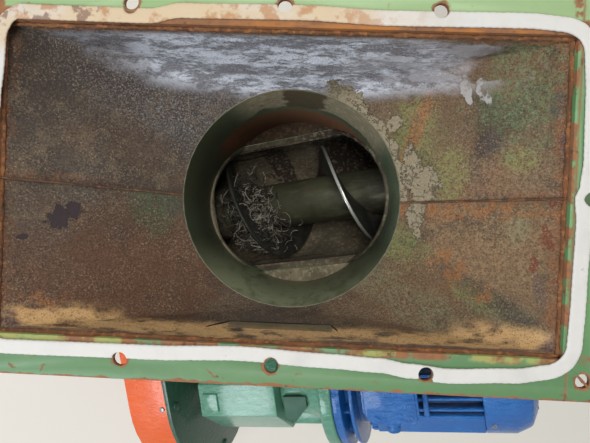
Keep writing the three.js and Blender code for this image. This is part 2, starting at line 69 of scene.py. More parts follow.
def move(x, y, z):
    return Matrix.Translation((x, y, z))


def spin(angle, axis):
    return Matrix.Rotation(angle, 4, axis)


def grid(first, second):
    return [(a, b) for a in first for b in second]


# Seats of the sloping conveyor, its drive and the level hopper
conveyor = move(0, 0, AXIS_HEIGHT) @ spin(-PITCH, "Y")
drive = conveyor @ move(0, -DRIVE_ACROSS, 0.01)
hopper = move(0, 0, FLANGE_HEIGHT) @ spin(math.radians(-10.3), "Z")
along_x = spin(math.pi / 2, "Y")  # turns a shape made along +Z to lie along +X


# Small helpers for making, picking and finishing meshes
def clear():
    if bpy.context.object and bpy.context.object.mode != "OBJECT":
        bpy.ops.object.mode_set(mode="OBJECT")
    bpy.ops.object.select_all(action="DESELECT")


def only(*objs):
    clear()
    for o in objs:
        o.select_set(True)
    bpy.context.view_layer.objects.active = objs[0]
    return objs[0]


def edit(obj, select="SELECT"):
    only(obj)
    bpy.ops.object.mode_set(mode="EDIT")
    bpy.ops.mesh.select_mode(type="FACE")
    bpy.ops.mesh.select_all(action=select)


def done():
    bpy.ops.object.mode_set(mode="OBJECT")


def pick_faces(obj, wanted):
    edit(obj, "DESELECT")
    done()
    for p in obj.data.polygons:
        p.select = bool(wanted(p))
    bpy.ops.object.mode_set(mode="EDIT")


def pick_top(obj):
    pick_faces(obj, lambda p: p.normal.z > 0.9)


def block(x, y, z):
    clear()
    bpy.ops.mesh.primitive_cube_add(size=1)
    obj = bpy.context.object
    obj.scale = (x, y, z)
    bpy.ops.object.transform_apply(location=False, rotation=False, scale=True)
    return obj


def disc(sides, radius, depth, centre=(0, 0, 0), **more):
    clear()
    bpy.ops.mesh.primitive_cylinder_add(vertices=sides, radius=radius, depth=depth, location=centre, **more)
    return bpy.context.object


def raise_top(rise, along=0):
    bpy.ops.mesh.extrude_region_move(TRANSFORM_OT_translate={"value": (0, along, rise)})


def stepped(obj, inset, rise):
    """Sets the top in from its edge, and raises or sinks it."""
    pick_top(obj)
    bpy.ops.mesh.inset(thickness=inset)
    raise_top(rise)
    done()


def apply(obj, kind, **settings):
    only(obj)
    m = obj.modifiers.new(kind.lower(), kind)
    for key, value in settings.items():
        setattr(m, key, value)
    bpy.ops.object.modifier_apply(modifier=m.name)


def rounded(obj, width, segments):
    apply(obj, "BEVEL", width=width, segments=segments, limit_method="ANGLE", angle_limit=math.radians(30))


def smooth(obj, angle=35):
    only(obj)
    bpy.ops.object.shade_smooth_by_angle(angle=math.radians(angle))


def seat(obj, matrix):
    """The place goes into the mesh, and the object stays at the origin."""
    bpy.context.view_layer.update()
    obj.data.transform(matrix @ obj.matrix_world)
    obj.matrix_world = Matrix.Identity(4)
    obj.data.update()
    return obj


def join(objs, name):
    only(*objs)
    if len(objs) > 1:
        bpy.ops.object.join()
    obj = bpy.context.object
    obj.name = obj.data.name = name
    return obj


def ripple(obj, strength, size, depth=3, group=""):
    clouds = bpy.data.textures.new("clouds", "CLOUDS")
    clouds.noise_scale = size
    clouds.noise_depth = depth
    apply(obj, "DISPLACE", strength=strength, mid_level=0.5, texture=clouds, vertex_group=group)


def place_piece(obj, name, finish, body="casing", stands_for=()):
    obj.name = obj.data.name = name
    obj.data.materials.clear()
    obj.data.materials.append(finish)
    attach(obj, body)
    if stands_for:
        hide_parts(*stands_for)


# Finishes
def rgb(*levels):
    """A screen colour, 0 to 255 a channel, in linear light."""
    return (*(((c / 255 + 0.055) / 1.055) ** 2.4 if c > 10 else c / 3294.6 for c in levels), 1.0)


class Finish:
    """A painted or bare surface built up coat by coat, each coat laid through a mask."""

    def __init__(self, name, colour, rough, metal=0.0, seat_at=None):
        self.material = bpy.data.materials.new(name)
        self.material.use_nodes = True
        self.tree = self.material.node_tree
        self.shader = self.tree.nodes["Principled BSDF"]
        self.shader.inputs["Metallic"].default_value = metal
        self.place = self.add("ShaderNodeTexCoord").outputs["Object"]
        if seat_at is not None:
            back = seat_at.inverted()
            self.place = self.mapping(self.place, "POINT", back.translation, back.to_euler(), (1, 1, 1))
        self.colour, self.rough, self.height = rgb(*colour), rough, None

    def add(self, kind, **settings):
        node = self.tree.nodes.new(kind)
        for key, value in settings.items():
            setattr(node, key, value)
        return node

    def feed(self, socket, value):
        if isinstance(value, bpy.types.NodeSocket):
            self.tree.links.new(value, socket)
        else:
            socket.default_value = value

    def mapping(self, source, kind, location, rotation, scale):
        node = self.add("ShaderNodeMapping", vector_type=kind)
        self.feed(node.inputs["Vector"], source)
        for key, value in (("Location", location), ("Rotation", rotation), ("Scale", scale)):
            node.inputs[key].default_value = tuple(value)
        return node.outputs["Vector"]

    def math(self, operation, a, b=0.0):
        node = self.add("ShaderNodeMath", operation=operation)
        self.feed(node.inputs[0], a)
        self.feed(node.inputs[1], b)
        return node.outputs[0]

    def ramp(self, value, low, high, to_low=0.0, to_high=1.0):
        node = self.add("ShaderNodeMapRange", interpolation_type="SMOOTHSTEP")
        ends = {"From Min": low, "From Max": high, "To Min": to_low, "To Max": to_high}
        for key, v in {"Value": value, **ends}.items():
            self.feed(node.inputs[key], v)
        return node.outputs["Result"]

    def raw(self, scale, detail=5.0, rough=0.6, warp=0.0, stretch=(1, 1, 1), shift=0.0):
        node = self.add("ShaderNodeTexNoise")
        self.feed(node.inputs["Vector"], self.mapping(self.place, "POINT", (shift,) * 3, (0, 0, 0), stretch))
        for key, v in (("Scale", scale), ("Detail", detail), ("Roughness", rough), ("Distortion", warp)):
            node.inputs[key].default_value = v
        return node.outputs[0]

    def grain(self, scale, low, high, **more):
        return self.ramp(self.raw(scale, **more), low, high)

    def uneven(self, scale, amount, **more):
        """Noise about zero."""
        return self.math("MULTIPLY", self.math("SUBTRACT", self.raw(scale, **more), 0.5), amount)

    def axis(self, which):
        node = self.add("ShaderNodeSeparateXYZ")
        self.feed(node.inputs[0], self.place)
        return node.outputs["XYZ".index(which)]

    def band(self, which, at, half, ragged, scale, soft=0.002):
        off = self.math("ABSOLUTE", self.math("SUBTRACT", self.axis(which), at))
        off = self.math("ADD", off, self.uneven(scale, ragged, shift=at))
        return self.ramp(off, half - soft, half + soft, 1.0, 0.0)

    def spot(self, x, y, rx, ry, turn=0.0, ragged=0.9, scale=45.0, soft=0.12, z=0.0, rz=9.0, tilt=0.0):
        turned = (0, math.radians(tilt), math.radians(turn))
        inside = self.mapping(self.place, "TEXTURE", (x, y, z), turned, (rx, ry, rz))
        node = self.add("ShaderNodeVectorMath", operation="LENGTH")
        self.feed(node.inputs[0], inside)
        off = self.math("ADD", node.outputs["Value"], self.uneven(scale, ragged * 2, shift=x + y))
        return self.ramp(off, 1 - soft, 1 + soft, 1.0, 0.0)

    def spots(self, places, **more):
        return self.either(*(self.spot(*place, **more) for place in places))

    def off_axis(self, first, second):
        """Distance from the seat's remaining axis."""
        squares = [self.math("POWER", self.math("ABSOLUTE", self.axis(a)), 2.0) for a in (first, second)]
        return self.math("SQRT", self.math("ADD", *squares))

    def up(self, low, high):
        node = self.add("ShaderNodeSeparateXYZ")
        self.feed(node.inputs[0], self.add("ShaderNodeNewGeometry").outputs["Normal"])
        return self.ramp(node.outputs[2], low, high)

    def both(self, mask, *others):
        for other in others:
            mask = self.math("MULTIPLY", mask, other)
        return mask

    def either(self, mask, *others):
        for other in others:
            mask = self.math("MAXIMUM", mask, other)
        return mask

    def lay(self, mask, colour, rough=None, strength=1.0, lift=0.0):
        if strength != 1.0:
            mask = self.math("MULTIPLY", mask, strength)
        node = self.add("ShaderNodeMix", data_type="RGBA")
        self.feed(node.inputs[0], mask)
        self.feed(node.inputs[6], self.colour)
        self.feed(node.inputs[7], rgb(*colour))
        self.colour = node.outputs[2]
        if rough is not None:
            node = self.add("ShaderNodeMix", data_type="FLOAT")
            self.feed(node.inputs[0], mask)
            self.feed(node.inputs[2], self.rough)
            self.feed(node.inputs[3], rough)
            self.rough = node.outputs[0]
        if lift:
            self.raise_by(mask, lift)

    def raise_by(self, amount, share=1.0):
        if share != 1.0:
            amount = self.math("MULTIPLY", amount, share)
        self.height = amount if self.height is None else self.math("ADD", self.height, amount)

    def made(self, bump=1.0, distance=0.001):
        self.feed(self.shader.inputs["Base Color"], self.colour)
        self.feed(self.shader.inputs["Roughness"], self.rough)
        if self.height is not None:
            node = self.add("ShaderNodeBump")
            node.inputs["Strength"].default_value = bump
            node.inputs["Distance"].default_value = distance
            self.feed(node.inputs["Height"], self.height)
            self.feed(self.shader.inputs["Normal"], node.outputs["Normal"])
        return self.material


def brush_marks(f, strength, coat=0.25, shift=0):
    """Thick gloss paint, streaked by the brush."""
    f.raise_by(f.raw(150, detail=5.0, rough=0.65, warp=1.5, stretch=(0.4, 1, 1), shift=shift), strength)
    f.shader.inputs["Coat Weight"].default_value = coat
    f.shader.inputs["Coat Roughness"].default_value = 0.14


def painted(name, colour, dark, light, rough, chips, dust, brushed=0.0, coat=0.25):
    f = Finish(name, colour, rough)
    f.lay(f.grain(7, 0.35, 0.7), dark, rough + 0.1, 0.55)
    f.lay(f.grain(30, 0.45, 0.75, shift=3.1), light, rough + 0.05, 0.35)
    f.lay(f.both(f.up(0.35, 1.0), f.grain(16, 0.3, 0.75, shift=1.7)), (150, 142, 124), 0.85, dust)
    f.raise_by(f.raw(180, detail=2.0), 0.12)
    if brushed:
        brush_marks(f, brushed * 3.0, coat, 12)
    worn = f.both(f.grain(55, chips, chips + 0.03, warp=0.4), f.grain(9, 0.45, 0.6, shift=5.0))
    f.lay(worn, (92, 58, 38), 0.85, lift=-0.25)
    rust = f.both(f.grain(120, chips - 0.02, chips + 0.02, shift=9), f.grain(9, 0.5, 0.6, shift=5))
    f.lay(rust, (126, 74, 40), 0.9, 0.8)
    return f.made(0.9, 0.0012) if brushed else f.made(0.5, 0.0008)


def wall_ground(name):
    """Worn sheet under dust and rust, with painted light making it lighter and warmer to the right."""
    f = Finish(name, (74, 62, 50), 0.8, seat_at=hopper)
    fine = f.raw(500, detail=5.0, rough=0.8)
    f.raise_by(fine, 0.55)
    f.raise_by(f.raw(90, detail=6.0, rough=0.7, shift=2.0), 0.6)
    f.lay(f.grain(6, 0.4, 0.66), (50, 38, 31), strength=0.8)
    f.lay(f.grain(9, 0.45, 0.68, shift=7), (92, 70, 50), strength=0.5)
    f.lay(f.grain(15, 0.46, 0.7, shift=3), (72, 72, 68), strength=0.45)
    f.lay(f.grain(48, 0.5, 0.6, shift=31, detail=8.0, rough=0.75), (106, 90, 70), None, 0.5)
    # Painted light: the right-hand part of the sheets is laid lighter and warmer, with rust grains over it
    right = f.ramp(f.axis("X"), -0.02, 0.15)
    f.lay(right, (112, 86, 56), None, 0.6)
    f.lay(f.both(right, f.grain(18, 0.46, 0.64, shift=6, detail=7.0)), (104, 66, 40), None, 0.6)
    f.lay(f.grain(13, 0.52, 0.64, shift=21, detail=8.0, warp=0.6), (40, 31, 25), None, 0.6)
    return f, fine


def wall_grains(f, fine):
    """Light grains, thicker in places, and dark ones between them."""
    thick = f.ramp(f.raw(28, detail=6.0, shift=11), 0.36, 0.6, 0.35, 1.0)
    f.lay(f.both(f.ramp(fine, 0.52, 0.66), thick), (152, 138, 116), None, 0.75)
    f.lay(f.ramp(fine, 0.48, 0.38), (34, 25, 20), None, 0.75)


def wall_edges(f, corners):
    """Shaded corners, and rust along the seams and edges."""
    f.lay(f.either(f.grain(36, 0.58, 0.72, shift=4, detail=7.0), corners), (40, 29, 25), None, 0.65)
    seam = f.band("Y", 0.01, 0.0035, 0.016, 60, 0.003)
    seam = f.both(seam, f.ramp(f.math("ABSOLUTE", f.axis("X")), 0.17, 0.26))
    f.lay(f.both(seam, f.grain(90, 0.35, 0.6)), (128, 80, 50), None, 0.5)
    side = f.either(f.band("X", 0.2695, 0.004, 0.012, 60), f.band("X", -0.287, 0.003, 0.01, 50))
    f.lay(f.both(side, f.grain(70, 0.4, 0.58, shift=2)), (112, 64, 38), None, 0.7)
    rim = f.band("Z", -0.009, 0.004, 0.01, 60)
    rim = f.both(rim, f.ramp(f.axis("X"), -0.282, -0.262, 0.3, 1.0))
    streaks = f.grain(60, 0.4, 0.6, shift=6, detail=8.0, stretch=(0.5, 1, 1))
    f.lay(f.both(rim, streaks), (122, 78, 46), None, 0.75)


def wall_crust(f, fine, crust):
    """Set dust with cracks in it."""
    f.lay(crust, (130, 118, 95), None, lift=1.8)
    crack = f.math("ABSOLUTE", f.math("SUBTRACT", f.raw(62, detail=9.0, rough=0.7, shift=9), 0.5))
    f.lay(f.both(crust, f.ramp(crack, 0.014, 0.002)), (74, 62, 47), None, 0.75, lift=-1.2)
    f.lay(f.both(crust, f.ramp(fine, 0.5, 0.64)), (164, 152, 126), None, 0.7)


def speckled(f, *stains):
    """Stains laid in fine speckle."""
    speckle = f.grain(230, 0.36, 0.64, detail=7.0, rough=0.8, shift=8)
    for mask, colour, strength in stains:
        f.lay(f.both(mask, speckle), colour, None, strength)


def painted_underside(f):
    """The casing's paint on the faces that look down."""
    under = f.up(0.0, -0.06)
    f.lay(under, (82, 124, 80))
    f.lay(f.both(under, f.grain(26, 0.52, 0.6, shift=17, detail=7.0)), (116, 74, 46), None, 0.8)
    return f.made(0.9, 0.002)


def front_wall():
    f, fine = wall_ground("hopper_wall_front")
    moss = f.spots([(0.128, -0.048, 0.034, 0.024, -20), (0.205, -0.1, 0.022, 0.012, -30)],
                   ragged=1.1, scale=36, soft=0.5)
    speckled(f, (f.spot(0.215, -0.04, 0.06, 0.044, -30, 1.0, 30, 0.5), (160, 128, 90), 0.55),
             (moss, (112, 128, 70), 0.75))
    f.lay(f.spot(-0.19, -0.095, 0.11, 0.07, 0, 0.8, 24, 0.6), (84, 52, 28), None, 0.85)
    pale = f.spots([(0.236, -0.026, 0.009, 0.016), (0.132, -0.108, 0.06, 0.02, -20),
                    (0.236, -0.118, 0.02, 0.012)], ragged=1.1, scale=36, soft=0.4)
    speckled(f, (pale, (120, 124, 94), 0.6),
             (f.spot(-0.158, -0.012, 0.024, 0.034, 0, 0.9, 40, 0.4), (52, 76, 46), 0.75))
    wall_edges(f, f.spot(0.225, -0.106, 0.052, 0.01, -38, 0.7, 24, 0.6))
    orange = f.spots([(0.2, -0.004, 0.08, 0.012), (-0.262, -0.124, 0.026, 0.014),
                      (0.185, -0.075, 0.04, 0.014, -40)], ragged=1.2, scale=50, soft=0.4)
    f.lay(f.both(orange, f.grain(80, 0.42, 0.58, shift=5, detail=9.0)), (142, 88, 42), None, 0.65)
    # A rusty band under the near edge, with plum-coloured layers
    near = f.ramp(f.axis("Y"), -0.118, -0.132)
    streaks = f.grain(75, 0.34, 0.54, shift=14, detail=8.0, stretch=(0.5, 1, 1))
    f.lay(f.both(near, f.band("Z", -0.026, 0.018, 0.03, 30, 0.008), streaks), (204, 164, 110), None, 0.9)
    streaks = f.grain(60, 0.4, 0.6, stretch=(0.2, 1, 1), shift=9)
    layer = f.both(near, f.band("Z", -0.01, 0.004, 0.008, 40), streaks)
    speckle = f.grain(230, 0.36, 0.64, detail=7.0, rough=0.8, shift=8)
    plum = f.both(f.spot(0.254, -0.082, 0.004, 0.018, 8, 1.0, 80, 0.35), speckle)
    f.lay(f.either(layer, plum), (82, 62, 64), None, 0.8)
    wall_grains(f, fine)
    # Dark scabs and red rust spots
    scab = f.spots([(-0.243, -0.031, 0.009, 0.013, -25), (-0.231, -0.023, 0.006, 0.009, 10),
                    (-0.272, -0.052, 0.004, 0.003)], ragged=1.4, scale=130, soft=0.06)
    f.lay(scab, (46, 33, 36), None, lift=-0.7)
    red = f.spots([(0.258, -0.032, 0.0045, 0.011, 10), (0.262, 0.003, 0.004, 0.004),
                   (0.25, -0.06, 0.0035, 0.007)], ragged=1.3, scale=150, soft=0.2)
    f.lay(f.both(red, f.ramp(fine, 0.62, 0.5)), (100, 46, 26), None, 0.9)
    wall_crust(f, fine, f.spot(0.147, -0.014, 0.009, 0.024, 0, 1.0, 90, 0.05))
    # A let-in plate low on the near sheet, ringed by a dark line of painted shadow where its gap would be
    plate = f.both(f.band("Z", -0.0445, 0.009, 0.001, 30, 0.0005), near)
    f.lay(f.both(plate, f.band("X", -0.004, 0.056, 0.001, 30, 0.0008)), (98, 90, 66), None, 0.75)
    # Painted shadow: the dark, sunk line stands in for the shade in the gap round the plate
    painted_slit_shadow = f.either(f.spot(-0.004, 0, 0.058, 9, z=-0.0537, rz=0.0016, ragged=0.3, scale=120),
                    f.spot(-0.07, 0, 0.0155, 9, z=-0.0445, rz=0.0022, tilt=40.9, ragged=0.2, scale=120),
                    f.spot(0.054, 0, 0.009, 9, z=-0.0455, rz=0.0012, tilt=-68.3, ragged=0.2, scale=120))
    f.lay(f.both(painted_slit_shadow, near), (22, 16, 12), None, lift=-2.5)
    return painted_underside(f)


def back_wall():
    f, fine = wall_ground("hopper_wall_back")
    moss = f.spots([(0.14, 0.078, 0.026, 0.042, 10), (0.178, 0.034, 0.016, 0.03),
                    (0.236, 0.046, 0.014, 0.012)], ragged=1.1, scale=40, soft=0.45)
    speckled(f, (f.spot(0.215, 0.02, 0.06, 0.04, 0, 1.1, 30, 0.5), (150, 124, 96), 0.5),
             (moss, (124, 130, 70), 0.75),
             (f.spot(0.24, 0.112, 0.044, 0.05, 10, 1.2, 36, 0.4), (96, 122, 84), 0.7),
             (f.spot(0.14, 0.08, 0.008, 0.036, -15, 1.1, 60, 0.4), (160, 84, 46), 0.7))
    wall_edges(f, f.spots([(-0.245, 0.145, 0.075, 0.04), (-0.18, 0.13, 0.06, 0.024, 20)],
                          ragged=0.7, scale=16, soft=0.6))
    plum = f.spots([(0.212, 0.064, 0.01, 0.014, -30), (0.262, 0.095, 0.006, 0.016),
                    (0.268, 0.06, 0.004, 0.016)], ragged=1.2, scale=60, soft=0.4)
    speckled(f, (plum, (60, 50, 58), 0.8))
    wall_grains(f, fine)
    # Pale deposit across the far sheet, streaked and cracked, its bluish-white streaks partly a painted
    # sheen
    sheet = f.both(f.ramp(f.axis("Y"), 0.112, 0.134), f.ramp(f.axis("Z"), -0.008, -0.018))
    reach = f.both(sheet, f.spot(-0.02, 0.156, 0.165, 0.05, -3, 0.55, 20, 0.4))
    f.lay(reach, (128, 128, 136), None, 0.75)
    # Painted sheen: the bluish-white streaks stand partly for the far sheet's sheen, partly for its deposit
    streak = f.grain(60, 0.43, 0.53, detail=12.0, rough=0.88, stretch=(0.35, 1, 1), shift=5)
    f.lay(f.both(reach, streak), (214, 218, 228), None, 0.85, lift=0.4)
    f.lay(f.both(reach, f.ramp(fine, 0.47, 0.39)), (74, 70, 74), None, 0.7)
    salt = f.both(sheet, f.spot(0.14, 0.146, 0.08, 0.03, -6, 0.9, 24, 0.3))
    streak = f.grain(44, 0.47, 0.53, detail=8.0, stretch=(0.4, 1, 1), shift=15)
    f.lay(f.both(salt, streak), (168, 166, 170), None, 0.55, lift=0.8)
    haze = f.both(f.spot(-0.13, 0.11, 0.1, 0.05, -20, 0.8, 18, 0.6), f.ramp(fine, 0.48, 0.62))
    f.lay(haze, (128, 128, 132), None, 0.6)
    # Set crust along the spout's rim, and flaked scraps above it
    ragged = f.math("ADD", f.off_axis("X", "Y"), f.uneven(70, 0.03, detail=7.0, shift=4))
    ring = f.both(f.ramp(ragged, 0.1395, 0.138), f.ramp(f.axis("X"), 0.03, 0.045))
    crust = f.spots([(0.118, 0.092, 0.009, 0.009), (0.156, 0.02, 0.013, 0.022),
                     (0.142, 0.036, 0.01, 0.03, 10), (0.06, 0.126, 0.024, 0.006, -24)],
                    ragged=1.2, scale=110, soft=0.05)
    wall_crust(f, fine, f.either(crust, ring))
    scraps = f.spots([(0.186, 0.124, 0.0055, 0.011, 12), (0.19, 0.113, 0.003, 0.008, 20),
                      (0.202, 0.121, 0.006, 0.012, 25), (0.207, 0.112, 0.003, 0.008, 15)],
                     ragged=0.9, scale=120, soft=0.08)
    f.lay(f.both(scraps, f.grain(60, 0.4, 0.5, shift=14)), (158, 152, 148), None, lift=0.9)
    return painted_underside(f)


def spout_paint():
    f = Finish("spout_paint", (88, 134, 86), 0.45, seat_at=hopper)
    inside = f.ramp(f.off_axis("X", "Y"), 0.1324, 0.1314)
    f.lay(inside, (80, 90, 68))
    f.lay(f.both(inside, f.grain(9, 0.35, 0.7)), (58, 70, 54), 0.5, 0.7)
    f.lay(f.grain(22, 0.5, 0.75, shift=3, stretch=(1, 1, 0.3)), (104, 114, 94), 0.5, 0.5)
    f.lay(f.grain(140, 0.55, 0.68, shift=4), (112, 108, 88), 0.8, 0.4)
    # Painted shade on the left of the spout's inside, and painted light on its near side
    f.lay(f.both(inside, f.ramp(f.axis("X"), -0.05, -0.11)), (52, 58, 40), None, 0.8)
    near = f.both(inside, f.ramp(f.axis("Y"), -0.05, -0.12))
    f.lay(near, (146, 152, 120), None, 0.75)
    runs = f.grain(40, 0.5, 0.62, shift=8, detail=7.0, stretch=(1, 1, 0.4))
    f.lay(f.both(near, runs), (84, 88, 66), None, 0.6)
    far = f.both(inside, f.ramp(f.axis("Y"), 0.055, 0.085))
    crust = f.both(far, f.band("Z", -0.13, 0.048, 0.06, 24, 0.004), f.ramp(f.axis("X"), -0.085, -0.05))
    bare = f.spot(0.01, 0.12, 0.026, 0.05, 0, 0.6, 40, 0.1)
    f.lay(crust, (126, 116, 92), 0.9, 0.9, lift=1.5)
    f.lay(f.both(crust, f.grain(150, 0.5, 0.62, shift=2)), (152, 142, 116), 0.9, 0.6)
    f.lay(f.both(bare, crust), (62, 50, 28), 0.85, 0.9)
    f.lay(f.both(far, f.ramp(f.axis("Z"), -0.185, -0.215)), (112, 62, 32), 0.9, 0.8)
    edge = f.band("Z", -0.1015, 0.003, 0.005, 90)
    f.lay(edge, (104, 100, 80), 0.85, 0.7)
    f.lay(f.both(f.grain(60, 0.62, 0.66), f.grain(8, 0.45, 0.6, shift=2)), (96, 62, 40), 0.85)
    f.raise_by(f.raw(120), 0.3)
    return f.made(0.6, 0.0014)


def flange_paint():
    f = Finish("flange_paint", (96, 136, 88), 0.45, seat_at=hopper)
    f.lay(f.grain(9, 0.35, 0.7), (86, 122, 80), 0.48, 0.7)
    f.lay(f.grain(60, 0.5, 0.7, shift=3), (116, 150, 104), 0.45, 0.4)
    # Painted shade on the near bar, and painted light on the far bar
    f.lay(f.ramp(f.axis("Y"), -0.1, -0.16), (80, 114, 76), 0.48, 0.6)
    f.lay(f.ramp(f.axis("Y"), 0.13, 0.17), (154, 176, 126), 0.45, 0.7)
    # Rust along the outer edges, the ends and the edges of the mouth
    near_edge = f.band("Y", -0.149, 0.005, 0.006, 90)
    right_edge = f.band("X", 0.271, 0.0035, 0.014, 50)
    rust = f.either(
        f.band("Y", -0.1895, 0.0032, 0.013, 55, 0.001), f.band("Y", 0.2025, 0.002, 0.01, 55, 0.001),
        f.band("X", 0.311, 0.002, 0.01, 60), f.band("X", -0.329, 0.003, 0.012, 60),
        f.band("Y", 0.164, 0.011, 0.006, 60), f.both(near_edge, f.grain(26, 0.42, 0.5, detail=9.0)),
        f.band("X", -0.289, 0.005, 0.012, 60), f.band("X", 0.2752, 0.0008, 0.002, 60),
        f.both(right_edge, f.grain(34, 0.5, 0.56, shift=2, detail=9.0)))
    # Rust creeps from the bolt holes on their pitch
    node = f.add("ShaderNodeMath", operation="WRAP")
    f.feed(node.inputs[0], f.math("ADD", f.axis("X"), -MOUTH_X))
    node.inputs[1].default_value, node.inputs[2].default_value = BOLT_PITCH / 2, -BOLT_PITCH / 2
    sideways = f.math("POWER", f.math("ABSOLUTE", node.outputs[0]), 2.0)
    across = f.math("ABSOLUTE", f.math("SUBTRACT", f.axis("Y"), MOUTH_Y))
    across = f.math("ABSOLUTE", f.math("SUBTRACT", across, BOLT_ROW))
    away = f.math("SQRT", f.math("ADD", sideways, f.math("POWER", across, 2.0)))
    away = f.math("ADD", away, f.uneven(90, 0.012, shift=1))
    rust = f.either(rust, f.ramp(away, 0.0078, 0.01, 1.0, 0.0))
    rust = f.either(rust, f.both(f.grain(70, 0.63, 0.66, warp=0.6), f.grain(8, 0.48, 0.62, shift=4)))
    f.lay(rust, (128, 88, 60), 0.88, lift=-0.4)
    f.lay(f.both(rust, f.grain(110, 0.45, 0.6, shift=6)), (146, 98, 60), 0.9, 0.7)
    f.lay(f.both(rust, f.grain(90, 0.58, 0.66, shift=2)), (84, 54, 40), 0.9, 0.8)
    far_rim = f.both(f.band("Y", 0.16, 0.007, 0.004, 60), f.ramp(f.axis("X"), -0.1, 0.02))
    f.lay(f.both(far_rim, f.grain(60, 0.42, 0.6, stretch=(0.3, 1, 1), shift=3)), (176, 112, 52), 0.9, 0.8)
    f.lay(f.both(near_edge, f.grain(30, 0.5, 0.6, shift=9, detail=9.0)), (150, 158, 92), 0.8, 0.8)
    f.raise_by(f.raw(150, detail=3.0), 0.25)
    return f.made(0.6, 0.001)


def seal_finish():
    f = Finish("seal_white", (196, 193, 188), 0.6, seat_at=hopper)
    f.shader.inputs["Subsurface Weight"].default_value = 0.05
    f.shader.inputs["Subsurface Radius"].default_value = (0.004, 0.003, 0.002)
    f.lay(f.grain(24, 0.45, 0.75), (182, 179, 174), 0.6, 0.6)
    stained = f.both(f.ramp(f.axis("Y"), 0.12, 0.15), f.ramp(f.axis("X"), 0.17, 0.02))
    f.lay(f.both(stained, f.grain(16, 0.3, 0.55, stretch=(0.5, 1, 1))), (192, 168, 132), 0.7, 0.85)
    f.lay(f.both(stained, f.grain(44, 0.52, 0.62, shift=2, detail=6.0)), (168, 118, 74), 0.8, 0.75)
    corner = f.spot(-0.245, 0.17, 0.06, 0.02, 0, 0.9, 50)
    f.lay(f.both(corner, f.grain(60, 0.5, 0.58, shift=3)), (122, 92, 78), 0.85, 0.8)
    f.lay(f.grain(90, 0.7, 0.73, shift=7), (150, 140, 130), 0.7, 0.6)
    f.raise_by(f.raw(70), 0.5)
    return f.made(0.35, 0.0012)


def worn_steel(name, colour, light, dark, rough, metal, painted_highlight_rim=False):
    f = Finish(name, colour, rough, metal, seat_at=conveyor)
    f.lay(f.grain(12, 0.35, 0.7), dark, rough + 0.15, 0.8)
    f.lay(f.grain(50, 0.5, 0.7, shift=2, stretch=(0.3, 1, 1)), light, rough - 0.05, 0.6)
    f.lay(f.grain(200, 0.56, 0.66, shift=4), (96, 88, 74), 0.85, 0.5)
    if painted_highlight_rim:
        # Painted highlight on the flight's rim just under the spout, strongest near the middle
        off = f.off_axis("Y", "Z")
        highlight_falloff = f.ramp(f.math("ABSOLUTE", f.axis("Y")), 0.02, 0.07, 1.0, 0.35)
        rim = f.both(f.ramp(off, 0.0845, 0.0868), f.ramp(f.axis("X"), -0.015, 0.015))
        f.lay(f.both(rim, highlight_falloff), (190, 190, 182), 0.25, 0.95)
        f.lay(f.both(f.ramp(off, 0.06, 0.04), f.grain(30, 0.4, 0.6)), (90, 84, 66), 0.9, 0.7)
    f.raise_by(f.raw(160, detail=4.0), 0.3)
    return f.made(0.5, 0.0008)


def dusty(name, colour, light, dark):
    f = Finish(name, colour, 0.92)
    f.lay(f.grain(25, 0.35, 0.65), dark, 0.92, 0.7)
    f.lay(f.grain(160, 0.5, 0.64, shift=2), light, 0.95, 0.7)
    f.lay(f.grain(60, 0.62, 0.7, shift=4), (78, 66, 50), 0.9, 0.8)
    f.raise_by(f.raw(110, detail=7.0, rough=0.7))
    return f.made(0.9, 0.0025)


def trough_finish():
    """Steel below the inlet under set dust that broke off in plates."""
    f = Finish("trough_dust", (104, 94, 76), 0.92, seat_at=conveyor)
    f.lay(f.grain(25, 0.35, 0.65), (84, 74, 58), 0.92, 0.6)
    # The far side is laid dark and sunk in a band left of the flight, and beyond the flight on the right,
    # where it is painted shade under the tube's top
    dark = f.either(f.band("X", -0.036, 0.02, 0.02, 30, 0.003), f.ramp(f.axis("X"), 0.03, 0.045))
    f.lay(f.both(dark, f.ramp(f.axis("Y"), 0.01, 0.03)), (46, 34, 26), 0.8, 0.9, lift=-1.0)
    crack = f.both(f.band("Z", -0.03, 0.0012, 0.02, 40, 0.0005), f.ramp(f.axis("X"), 0.03, 0.01))
    f.lay(crack, (36, 30, 24), 0.95, lift=-1.2)
    f.lay(f.grain(160, 0.5, 0.64, shift=2), (146, 136, 112), 0.95, 0.6)
    f.lay(f.grain(60, 0.62, 0.7, shift=4), (66, 54, 40), 0.9, 0.8)
    f.lay(f.both(f.ramp(f.axis("Y"), -0.02, -0.05), f.grain(20, 0.4, 0.6, shift=5)), (70, 66, 52), 0.85, 0.6)
    f.raise_by(f.raw(110, detail=7.0, rough=0.7))
    return f.made(0.9, 0.0025)


